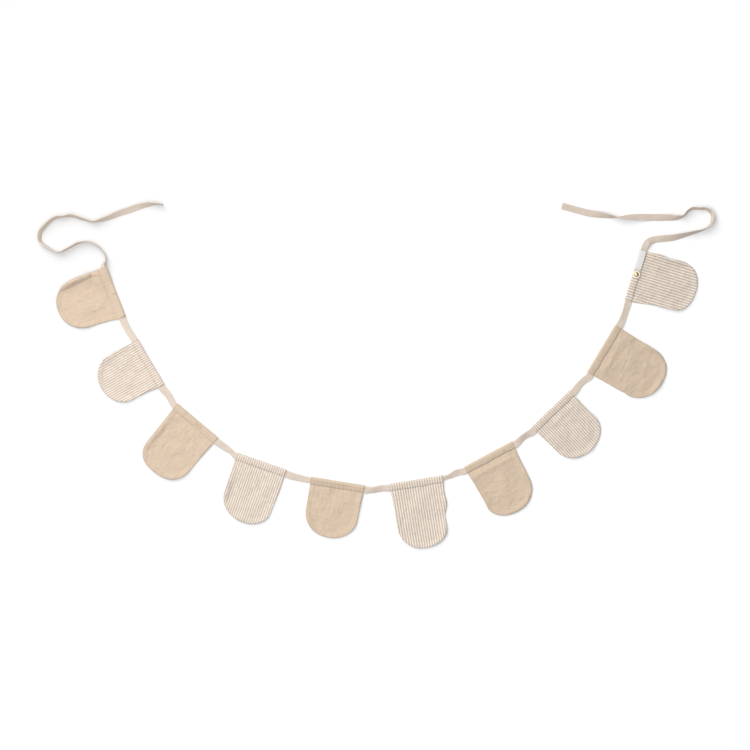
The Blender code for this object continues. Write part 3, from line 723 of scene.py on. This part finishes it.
def edge_distance(flag, u, v):
    """Distance from each point to the sewn edge, and the place along it."""
    edge = resample(outline(flag), np.linspace(0.0, 1.0, EDGE_SAMPLES))
    steps = np.linalg.norm(np.diff(edge, axis=0), axis=1)
    along = np.concatenate(([0.0], np.cumsum(steps)))
    away = np.full(u.shape, 1e9)
    at = np.zeros(u.shape)
    for n in range(0, EDGE_SAMPLES, 60):
        part = edge[n : n + 60]
        gap = np.hypot(u[..., None] - part[:, 0], v[..., None] - part[:, 1])
        nearest = gap.argmin(axis=-1)
        least = gap.min(axis=-1)
        at = np.where(least < away, along[n : n + 60][nearest], at)
        away = np.minimum(away, least)
    return away, at


def turned_strip(flag, u, v):
    """Lift of the strip that is turned up along one side."""
    if flag["name"] != STRIP_FLAG:
        return np.zeros(np.shape(u))
    out = STRIP_CREASE + STRIP_SLANT * (v - STRIP_FROM) - u
    fall = smooth((out - 2.0 * STRIP_SLOPE) / 7.0)
    roll = (1.0 - np.exp(-np.clip(out, 0.0, 99.0) / STRIP_SLOPE)) * (1.0 - 0.7 * fall)
    start = smooth((v - STRIP_FROM) / 3.5)
    fade = 1.0 - smooth((v - STRIP_FADE) / (STRIP_TO - STRIP_FADE))
    return STRIP_RISE * roll * start * fade


def rim_lift(flag, v, away, at, seed):
    """Lift of the sewn edge, which stands a little off the surface."""
    down = (v - flag["casing"]) / (flag["drop"] - flag["casing"])
    reach = (1.0 - smooth(away / RIM_LIFT_IN)) * smooth(down * 1.1)
    return RIM_LIFT * reach * (0.85 + 0.4 * lattice_noise(at, 0.0, 21.0, seed + 2))


def seam_shift(flag, u, v, seed):
    """Small wander of the casing's seam down the drop."""
    reach = np.exp(-(((v - flag["casing"]) / 5.0) ** 2))
    ends = smooth((flag["top"] / 2 - np.abs(u)) / 8.0)
    wander = FINISH[flag["name"]]["wander"]
    return wander * ends * reach * lattice_noise(u, 0.0, 13.0, seed + 6)


def pucker_wave(flag, u, seed):
    phase = 2.0 * lattice_noise(u, 0.0, 16.0, seed + 4)
    return np.sin(2 * math.pi * u / FINISH[flag["name"]]["pitch"] + phase)


def surface_relief(flag, u, v, away, at, seed):
    """Small relief of the upper face: wrinkles, puckers and seam allowance."""
    finish = FINISH[flag["name"]]
    soft = np.zeros(u.shape)
    for n, (wide, long, height) in enumerate(WRINKLE_ROWS):
        if min(wide, long) < FINE:
            height = height * finish["weave"]
        soft += height * lattice_noise(u / wide, v / long, 1.0, seed + n)
    crease = lattice_noise(u + 0.4 * v, v - 0.3 * u, CREASE_CELL, seed + 8)
    crease = np.clip(1.0 - np.abs(crease) - CREASE_FROM, 0.0, 1.0)
    soft += CREASE_RISE * crease / (1.0 - CREASE_FROM)
    below = v - flag["casing"]
    pucker = finish["pucker"] * pucker_wave(flag, u, seed)
    pucker = pucker * np.exp(-np.clip(below, 0.0, 99.0) / PUCKER_REACH)
    phase = 2.2 * lattice_noise(at, 0.0, 17.0, seed + 7)
    sewn = SEWN_RISE * np.sin(2 * math.pi * at / SEWN_PITCH + phase)
    sewn = sewn * np.exp(-((away / SEWN_REACH) ** 2)) * smooth(away / 1.5)
    allowance = SEAM_RISE * (1.0 - smooth(away - SEAM_WIDE))
    stripes = 0.0
    if flag["name"] in STRIPES:
        stripe = STRIPES[flag["name"]]
        wave = np.cos(2 * math.pi * (u - stripe["at"]) / stripe["pitch"])
        broken = 0.55 + 0.75 * lattice_noise(u / 5.0, v / 7.0, 1.0, seed + 9)
        stripes = -STRIPE_RISE * wave * broken
    groove = finish["groove"] * np.exp(-((below / GROOVE_WIDE) ** 2))
    rest = (soft + pucker + stripes) * smooth(away / 4.0) + sewn + allowance
    return rest * smooth(below / 2.0) - groove


def flag_piece(flag, number, material):
    """High-resolution flag: casing, tunnel and two faces with rounded edges."""
    seed = number * 10
    shares = cloth_shares(flag["top"], True)
    drops = cloth_shares(flag["drop"] - flag["casing"], False)
    grid = body_grid(flag, shares, drops)
    count, rows = grid.shape[:2]
    u, v = grid[..., 0], grid[..., 1]
    away, at = edge_distance(flag, u, v)
    away[0], away[-1], away[:, -1] = 0.0, 0.0, 0.0
    lift = fold_lift(flag, u, v) + turned_strip(flag, u, v)
    lift += rim_lift(flag, v, away, at, seed)
    bulge = np.sqrt(1.0 - (1.0 - np.clip(away / EDGE_ROUND, 0, 1)) ** 2)
    relief = surface_relief(flag, u, v, away, at, seed)
    top_z = lift + CLOTH / 2 * (1 + bulge) + relief * bulge
    under_z = lift + CLOTH / 2 * (1 - bulge)

    rows_of_points, cloth, faces = [], [], []

    def add(uu, vv, zz, rim, cloth_v=None):
        rows_of_points.append((uu, vv, zz))
        cloth.append((uu, vv if cloth_v is None else cloth_v, rim))
        return len(cloth) - 1

    ring, hole = casing_ring(flag), tunnel_ring()
    calm = 0.30 if number == len(FLAGS) else 1.0
    top_u = u[:, 0]
    lifts = casing_lift(flag, top_u)
    waves = pucker_wave(flag, top_u, seed)
    ends = smooth((flag["top"] / 2 - np.abs(top_u)) / 6.0)
    pucker = FINISH[flag["name"]]["pucker"]
    half_ring = RING_POINTS // 2
    rings, holes = [], []
    for i in range(count):
        rim = flag["top"] / 2 - abs(top_u[i])
        soft = 0.45 * lattice_noise(top_u[i], ring[:, 0], 12.0, seed + 5)
        soft = soft + 0.12 * lattice_noise(top_u[i], ring[:, 0], 4.0, seed + 3)
        bow = np.sin(math.pi * np.clip(np.arange(len(ring)) / half_ring, 0.0, 1.0))
        near = np.clip(ring[:, 0] / flag["casing"], 0.0, 1.0) ** 2
        swell = calm * ends[i] * bow * (soft + 1.4 * pucker * waves[i] * near)
        row = []
        for k, (vv, zz) in enumerate(ring):
            rolled = vv if k <= half_ring else -vv
            row.append(add(top_u[i], vv, zz + lifts[i] + swell[k], rim, rolled))
        rings.append(row)
        holes.append([
            add(top_u[i], TUNNEL_DOWN + vv, CASING_MID + zz + lifts[i], 9.0)
            for vv, zz in hole
        ])
    top, under = [], []
    for i in range(count):
        top.append([rings[i][0]])
        under.append([rings[i][-1]])
        for j in range(1, rows):
            top[i].append(add(u[i, j], v[i, j], top_z[i, j], away[i, j]))
            if i in (0, count - 1) or j == rows - 1:
                under[i].append(top[i][-1])
            else:
                under[i].append(add(u[i, j], v[i, j], under_z[i, j], away[i, j]))

    for i in range(count - 1):
        join(faces, rings[i], rings[i + 1], closed=False)
        join(faces, holes[i], holes[i + 1])
        join(faces, top[i], top[i + 1], closed=False)
        join(faces, under[i], under[i + 1], closed=False)
    share = RING_POINTS // len(hole)
    for i in (0, count - 1):
        faces.append((top[i][0], top[i][1], under[i][0]))
        for k in range(RING_POINTS):
            near_hole = ((k + share // 2) // share) % len(hole)
            next_hole = ((k + 1 + share // 2) // share) % len(hole)
            after = (k + 1) % RING_POINTS
            face = (rings[i][k], rings[i][after], holes[i][next_hole])
            if near_hole != next_hole:
                face += (holes[i][near_hole],)
            faces.append(face)
    flat = np.array(rows_of_points, float)
    flat[:, 1] += seam_shift(flag, flat[:, 0], flat[:, 1], seed)
    points = place(flag, flat[:, 0], flat[:, 1], flat[:, 2])
    return add_piece("cloth_%02d" % number, points, faces, material,
                     cloth, flag["name"])


def rest_height(roll, share):
    angle = math.radians(roll)
    half, thick = share * TAPE_WIDE / 2, TAPE_THICK / 2
    inner = half - TAPE_EDGE
    return max(
        half * abs(math.sin(angle)),
        inner * abs(math.sin(angle)) + thick * abs(math.cos(angle)),
    )


def casing_stations(flag):
    """Sections (x, y, z, share) of the tape inside one casing, as in the part."""
    strip = RIM_STRIP / flag["top"]
    across = np.concatenate(([0.0], np.linspace(strip, 1.0 - strip, 11), [1.0]))
    shares = [flag["a_open"]] + [1.0] * (len(across) - 2) + [flag["b_open"]]
    stations = []
    for place_across, share in zip(across, shares):
        u = (place_across - 0.5) * flag["top"]
        share = min(share, IN_CASING)
        down = TUNNEL_DOWN - (IN_CASING - share) * TAPE_WIDE / 2
        point = place(flag, u, down, CASING_MID + float(casing_lift(flag, u))) / MM
        stations.append((*point, share))
    return stations


def casing_mouth(flag, side):
    across, drop = axes(flag)
    stations = casing_stations(flag)
    x, y, z, inside = stations[0] if side == "a" else stations[-1]
    sign = -1.0 if side == "a" else 1.0
    share = flag[side + "_open"]
    wider = (share - inside) * TAPE_WIDE / 2
    x, y = np.array((x, y)) + sign * MOUTH_RUN * across + wider * drop
    return (float(x), float(y), z, share), across


def link_points(start, end, start_way, end_way, rows):
    """Sections (x, y, z, share, roll, way, free) of bare tape between two ends."""
    knots = [start[:2]] + [row[:2] for row in rows]
    rolls = [0.0] + [row[2] for row in rows]
    lifts = [start[2] - TAPE_THICK / 2] + [row[3] for row in rows]
    shares = [start[3]] + [row[4] for row in rows]
    if end is not None:
        knots.append(end[:2])
        rolls.append(0.0)
        lifts.append(end[2] - TAPE_THICK / 2)
        shares.append(end[3])
    knots = np.array(knots, float)
    gaps = np.linalg.norm(np.diff(knots, axis=0), axis=1)
    ways = np.zeros_like(knots)
    ways[0] = start_way
    for k in range(1, len(knots) - 1):
        before = (knots[k] - knots[k - 1]) / gaps[k - 1]
        after = (knots[k + 1] - knots[k]) / gaps[k]
        ways[k] = (before * gaps[k] + after * gaps[k - 1]) / (gaps[k] + gaps[k - 1])
    ways[-1] = end_way if end_way is not None else (knots[-1] - knots[-2]) / gaps[-1]
    sections = []
    for k, gap in enumerate(gaps):
        steps = max(4, round(gap / TAPE_STEP))
        for n in range(1, steps + 1):
            t = n / steps
            a, b = knots[k], knots[k + 1]
            h = (2 * t**3 - 3 * t**2 + 1, t**3 - 2 * t**2 + t,
                 -2 * t**3 + 3 * t**2, t**3 - t**2)
            x, y = h[0] * a + h[1] * gap * ways[k] + h[2] * b + h[3] * gap * ways[k + 1]
            slope = (6 * t**2 - 6 * t, 3 * t**2 - 4 * t + 1, 3 * t**2 - 2 * t)
            way = slope[0] * (a - b) + gap * (slope[1] * ways[k] + slope[2] * ways[k + 1])
            ease = float(smooth(t))
            roll = rolls[k] + (rolls[k + 1] - rolls[k]) * (0.5 * t + 0.5 * ease)
            up = lifts[k] + (lifts[k + 1] - lifts[k]) * ease
            share = shares[k] + (shares[k + 1] - shares[k]) * ease
            rest = rest_height(roll, share)
            sections.append((x, y, max(rest + up, rest), share, roll, way, 1.0))
    return sections


def tie_rows(rows, ups):
    """Rows of a tie, at full width, with heights."""
    return [(*row, ups[n] if n < len(ups) else 0.0, 1.0) for n, row in enumerate(rows)]


def tape_sections():
    mouth, way = casing_mouth(FLAGS[0], "a")
    tie = link_points(mouth, None, -way, None, tie_rows(FIRST_TIE, FIRST_TIE_UP))
    sections = [
        (x, y, z, share, -roll, -way, free)
        for x, y, z, share, roll, way, free in reversed(tie)
    ]
    for number, flag in enumerate(FLAGS, start=1):
        start, way = casing_mouth(flag, "a")
        end, _ = casing_mouth(flag, "b")
        if math.dist(sections[-1][:2], start[:2]) > MOUTH_RUN / 4:
            sections.append((*start, 0.0, way, 0.0))
        sections += [(*station, 0.0, way, 0.0) for station in casing_stations(flag)]
        sections.append((*end, 0.0, way, 0.0))
        if number < len(FLAGS):
            target, next_way = casing_mouth(FLAGS[number], "a")
            sections += link_points(end, target, way, next_way, LINKS[number])
        else:
            rows = tie_rows(LAST_TIE, LAST_TIE_UP)
            sections += link_points(end, None, way, None, rows)
    return sections


def tape_profile():
    """Section of the tape: flat faces, full woven edges."""
    half, thick = TAPE_WIDE / 2, TAPE_THICK / 2
    upper = [
        (half, 0.0), (half - 0.12, thick * 0.55), (half - 0.45, thick * 0.9),
        (half - 1.0, thick), (half - 1.7, thick * 0.86), (half / 2, thick * 0.9),
        (0.0, thick * 0.92), (-half / 2, thick * 0.9), (-half + 1.7, thick * 0.86),
        (-half + 1.0, thick), (-half + 0.45, thick * 0.9), (-half + 0.12, thick * 0.55),
        (-half, 0.0),
    ]
    lower = [(wide, -high) for wide, high in upper[1:-1]][::-1]
    return upper + lower


def tape_piece(material):
    sections = tape_sections()
    profile = tape_profile()
    points, cloth, faces = [], [], []
    along = 0.0
    before = None
    for x, y, z, share, roll, way, free in sections:
        if before is not None:
            along += math.dist((x, y, z), before)
        before = (x, y, z)
        way = way / np.linalg.norm(way)
        left = np.array((-way[1], way[0]))
        roll += free * ROLL_NOISE * float(lattice_noise(along, 0.0, 26.0, 77))
        cos, sin = math.cos(math.radians(roll)), math.sin(math.radians(roll))
        curl = free * EDGE_CURL * abs(sin) ** 3
        cup = free * CUP_NOISE * float(lattice_noise(along, 0.0, 34.0, 79))
        bunch = (1.0 - share) * BUNCH
        row = []
        for wide, thick in profile:
            out = wide / TAPE_WIDE * 2
            ripple = free * RIPPLE * float(lattice_noise(along, wide * 2.0, 9.0, 78))
            fold = bunch * math.cos(3.0 * math.pi * out)
            bow = (curl + cup) * (out**2 - 0.4)
            row.append((wide * share, thick + ripple + fold + bow))
        lowest = min(w * sin + t * cos for w, t in row)
        z = max(z, -lowest)
        for wide, lean in row:
            side = wide * cos - lean * sin
            height = z + wide * sin + lean * cos
            points.append(np.array((x + left[0] * side, y + left[1] * side, height)) * MM)
        cloth += [(along, wide, 0.0) for wide, _ in profile]
    rings = tube(faces, 0, len(sections), len(profile))
    faces += [rings[0], rings[-1]]
    piece = add_piece("tape_cloth", points, faces, material, cloth, "tape")
    return piece


def stitch(points, cloth, faces, start, end, radius, lift, high):
    """One stitch: a short arched thread from start to end."""
    start, end = np.array(start, float), np.array(end, float)
    way = (end - start) / np.linalg.norm(end - start)
    side = np.cross(way, (0.0, 0.0, 1.0))
    side /= np.linalg.norm(side)
    normal = np.cross(side, way)
    base = len(points)
    rings = ((0.0, 0.35), (0.15, 0.9), (0.5, 1.0), (0.85, 0.9), (1.0, 0.35))
    for share, size in rings:
        centre = start + (end - start) * share
        centre = centre + normal * (high * math.sin(math.pi * share) + lift)
        for k in range(6):
            angle = math.pi * k / 3
            offset = side * math.cos(angle) + normal * math.sin(angle)
            points.append((centre + offset * radius * size) * MM)
            cloth.append((share * 3.0, 0.0, 0.0))
    ends = tube(faces, base, len(rings), 6)
    faces += [ends[0], ends[-1]]


def seam_piece(flag, number, material):
    """Row of stitches along the foot of the casing."""
    points, cloth, faces = [], [], []
    half = flag["top"] / 2 - 1.6
    seed = number * 10
    groove = FINISH[flag["name"]]["groove"]
    for n in range(int(2 * half / STITCH_PITCH)):
        spots = []
        for u in (n * STITCH_PITCH - half, (n + 1) * STITCH_PITCH - STITCH_GAP - half):
            down = flag["casing"] + float(seam_shift(flag, u, flag["casing"], seed))
            z = STITCH_CLOTH - groove + float(casing_lift(flag, u))
            spots.append(place(flag, u, down, z) / MM)
        stitch(points, cloth, faces, spots[0], spots[1], 0.26, 0.16, 0.16)
    return add_piece("stitches_%02d" % number, points, faces, material,
                     cloth)


def tack_piece(flag, number, tacks, kind, material):
    """Dense zigzags across the casing that hold the tape in it."""
    points, cloth, faces = [], [], []
    crown = casing_ring(flag)[: RING_POINTS // 2 + 1][::-1]
    for tack in tacks:
        at = tack["across"]
        for n in range(int((tack["to"] - tack["from"]) / TACK_STEP)):
            spots = []
            for k, side in ((n, 1), (n + 1, -1)):
                v = tack["from"] + k * TACK_STEP
                u = at + side * (TACK_WIDE / 2 if n % 2 else -TACK_WIDE / 2)
                z = float(np.interp(v, crown[:, 0], crown[:, 1]))
                z += CLEAR + float(casing_lift(flag, at))
                spots.append(place(flag, u, v, z) / MM)
            stitch(points, cloth, faces, spots[0], spots[1], 0.22, 0.08, 0.08)
    return add_piece("%s_tacks_%02d" % (kind, number), points, faces, material,
                     cloth)


def label_piece(material):
    """Blank woven label that follows the casing and turns over its edge."""
    flag = FLAGS[-1]
    high = CASING_HIGH
    rows = ((LABEL_IN, high), (flag["casing"] / 2, high), (3.2, high - 0.1),
            (1.0, 3.3), (0.0, CASING_MID), (0.25, 1.4))
    run = resample(rows, np.linspace(0.0, 1.0, 27))
    way = np.gradient(run, axis=0)
    for _ in range(3):
        way[1:-1] = (way[:-2] + 2 * way[1:-1] + way[2:]) / 4
    way /= np.linalg.norm(way, axis=1)[:, None]
    out = np.column_stack((way[:, 1], -way[:, 0]))
    near = CLEAR + 0.05
    inner, outer = run + out * near, run + out * (near + LABEL_THICK)
    length = np.concatenate(([0.0], np.cumsum(np.linalg.norm(np.diff(run, axis=0), axis=1))))
    loop = np.vstack((inner, outer[::-1]))
    runs, count = len(run), 2 * len(run)
    stations = np.concatenate((
        LABEL_FROM + np.array((0.0, 0.3, 0.7, 1.4)),
        np.linspace(LABEL_FROM + 2.2, LABEL_TO - 2.2, 40),
        LABEL_TO - np.array((1.4, 0.7, 0.3, 0.0)),
    ))
    points, cloth, faces = [], [], []
    for u in stations:
        end = min(u - LABEL_FROM, LABEL_TO - u)
        pinch = 0.30 * math.exp(-end / 0.5)
        fold = 0.16 * float(smooth((3.4 - end) / 0.8))
        for k, (v, z) in enumerate(loop):
            outside = k >= runs
            m = count - 1 - k if outside else k
            rim = 0.25 * math.exp(-min(length[m], length[-1] - length[m]) / 0.4)
            soft = 0.10 * float(lattice_noise(u, length[m], 5.0, 91))
            shift = (fold + soft - pinch - rim) if outside else (pinch + rim) * 0.3
            vv, zz = v + out[m][0] * shift, z + out[m][1] * shift
            points.append(place(flag, u, vv, zz))
            cloth.append((u, length[m], 0.0))
    rings = tube(faces, 0, len(stations), count)
    for ring in (rings[0], rings[-1]):
        join(faces, ring[:runs], ring[:runs - 1:-1], closed=False)
    return add_piece("label_cloth", points, faces, material, cloth, "label")


def label_stitches(material):
    """Small stitches down both ends of the label."""
    flag = FLAGS[-1]
    points, cloth, faces = [], [], []
    z = CASING_HIGH + CLEAR + LABEL_THICK + 0.22
    for u in (LABEL_FROM + 1.9, LABEL_TO - 1.9):
        for n in range(5):
            v0 = 3.6 + n * 2.2
            a = place(flag, u, v0, z) / MM
            b = place(flag, u, v0 + 1.6, z) / MM
            stitch(points, cloth, faces, a, b, 0.16, 0.03, 0.06)
    return add_piece("label_stitches", points, faces, material, cloth)


def turned_piece(name, rows, material, node, sides=72):
    """Smooth round piece from (radius, z) rows about the stud's middle."""
    flag = FLAGS[-1]
    x, y, _ = place(flag, STUD_ACROSS, STUD_DOWN, 0.0) / MM
    points = [np.array((x, y, rows[0][1])) * MM]
    faces = []
    for radius, z in rows[1:-1]:
        for k in range(sides):
            angle = 2 * math.pi * k / sides
            points.append(np.array((x + radius * math.cos(angle),
                                    y + radius * math.sin(angle), z)) * MM)
    points.append(np.array((x, y, rows[-1][1])) * MM)
    rings = tube(faces, 1, len(rows) - 2, sides)
    for k in range(sides):
        after = (k + 1) % sides
        faces.append((0, rings[0][after], rings[0][k]))
        faces.append((rings[-1][k], rings[-1][after], len(points) - 1))
    return add_piece(name, points, faces, material, None, node)


def stud_pieces():
    base = CASING_HIGH + CLEAR
    radius = DISC_WIDE / 2
    rows = [(0.0, base), (radius - 0.4, base), (radius - 0.12, base + 0.12),
            (radius, base + 0.35), (radius - 0.1, base + 0.62),
            (radius - 0.4, base + DISC_THICK), (radius - 1.0, base + DISC_THICK),
            (radius - 1.4, base + DISC_THICK - 0.08), (0.0, base + DISC_THICK - 0.08)]
    disc = hard_material("white_disc", DISC_COLOUR, 0.5, 0.0, 0.06)
    turned_piece("disc", rows, disc, "stud_disc")
    foot = base + DISC_THICK + CLEAR
    radius = DOME_WIDE / 2
    rows = [(0.0, foot - 0.2), (radius - 0.3, foot - 0.2), (radius - 0.05, foot),
            (radius, foot + 0.2), (radius - 0.06, foot + 0.42),
            (radius - 0.3, foot + RIM_HIGH)]
    for degrees in range(8, 88, 6):
        angle = math.radians(degrees)
        rows.append(((radius - 0.45) * math.cos(angle),
                     foot + RIM_HIGH - 0.15
                     + (DOME_HIGH - RIM_HIGH + 0.15) * math.sin(angle)))
    rows.append((0.0, foot + DOME_HIGH))
    brass = hard_material("brass_stud", BRASS, 0.13, 1.0, 0.05)
    turned_piece("dome", rows, brass, "stud")


def set_stage():
    """Floor, lights, world and camera."""
    mesh = bpy.data.meshes.new("floor")
    corners = ((-1, -1), (1, -1), (1, 1), (-1, 1))
    mesh.from_pydata([(x * FLOOR_HALF, y * FLOOR_HALF, 0.0) for x, y in corners], [],
                     [(0, 1, 2, 3)])
    floor = bpy.data.objects.new("floor", mesh)
    bpy.context.scene.collection.objects.link(floor)
    nodes = Nodes("floor_paper")
    spot = nodes.add("ShaderNodeNewGeometry").outputs["Position"]
    x, y, _ = nodes.add("ShaderNodeSeparateXYZ", {0: spot}).outputs
    tone = nodes.total(FLOOR_MIDDLE, (x, nodes.total(FLOOR_RIGHT, (x, FLOOR_OUT))),
                       (y, nodes.total(FLOOR_UP, (y, FLOOR_OUT))))
    tone = nodes.math("MINIMUM", tone, FLOOR_MOST)
    grey = nodes.add("ShaderNodeCombineXYZ", {0: tone, 1: tone, 2: tone})
    nodes.surface(Base_Color=grey.outputs[0], Roughness=0.9, Specular_IOR_Level=0.1)
    mesh.materials.append(nodes.material)

    world = bpy.data.worlds.new("studio")
    bpy.context.scene.world = world
    world.use_nodes = True
    background = world.node_tree.nodes["Background"]
    background.inputs[0].default_value = (*WORLD_COLOUR, 1.0)
    background.inputs[1].default_value = WORLD_STRENGTH

    for row in LIGHTS:
        data = bpy.data.lights.new(row["name"], "AREA")
        data.shape = "SQUARE"
        data.size = row["size"]
        data.energy = row["power"]
        data.color = row["colour"]
        light = bpy.data.objects.new(row["name"], data)
        x, y, z = row["spot"]
        light.location = row["spot"]
        light.rotation_euler = (math.atan2(math.hypot(x, y), z), 0.0, math.atan2(x, -y))
        light.visible_camera = False
        bpy.context.scene.collection.objects.link(light)

    view = bpy.data.cameras.new("camera")
    view.sensor_fit = "HORIZONTAL"
    view.sensor_width = 36.0
    view.lens = view.sensor_width * CAMERA_HIGH / VIEW_WIDE
    view.clip_start, view.clip_end = 0.1, 50.0
    camera = bpy.data.objects.new("camera", view)
    camera.location = (0.0, 0.0, CAMERA_HIGH)
    bpy.context.scene.collection.objects.link(camera)
    bpy.context.scene.camera = camera
    bpy.context.scene.view_settings.view_transform = "Standard"


def main():
    set_stage()
    tape_piece(tape_material())
    thread_materials = {kind: thread_material(kind + "_thread", colour)
                        for kind, colour in THREAD_COLOURS.items()}
    for number, flag in enumerate(FLAGS, start=1):
        finish = FINISH[flag["name"]]
        kind = flag["cloth"]
        material = muslin("%s_%02d" % (kind, number), number, finish["weave"],
                          **STRIPES.get(flag["name"], {}))
        piece = flag_piece(flag, number, material)
        trims = [seam_piece(flag, number, thread_materials[finish["thread"]])]
        for kind in ("tack", "pale"):
            tacks = [row for row in TACKS if row["flag"] == flag["name"]
                     and row["thread"] == kind]
            if tacks:
                trims.append(tack_piece(flag, number, tacks, kind,
                                        thread_materials[kind]))
        edge = outline(flag)
        area = 0.5 * abs(np.sum(edge[:-1, 0] * edge[1:, 1] - edge[1:, 0] * edge[:-1, 1]))
        area += flag["top"] * flag["casing"] * 2
    label_piece(label_material())
    label_stitches(thread_material("label_thread", LABEL_COLOUR))
    stud_pieces()


main()
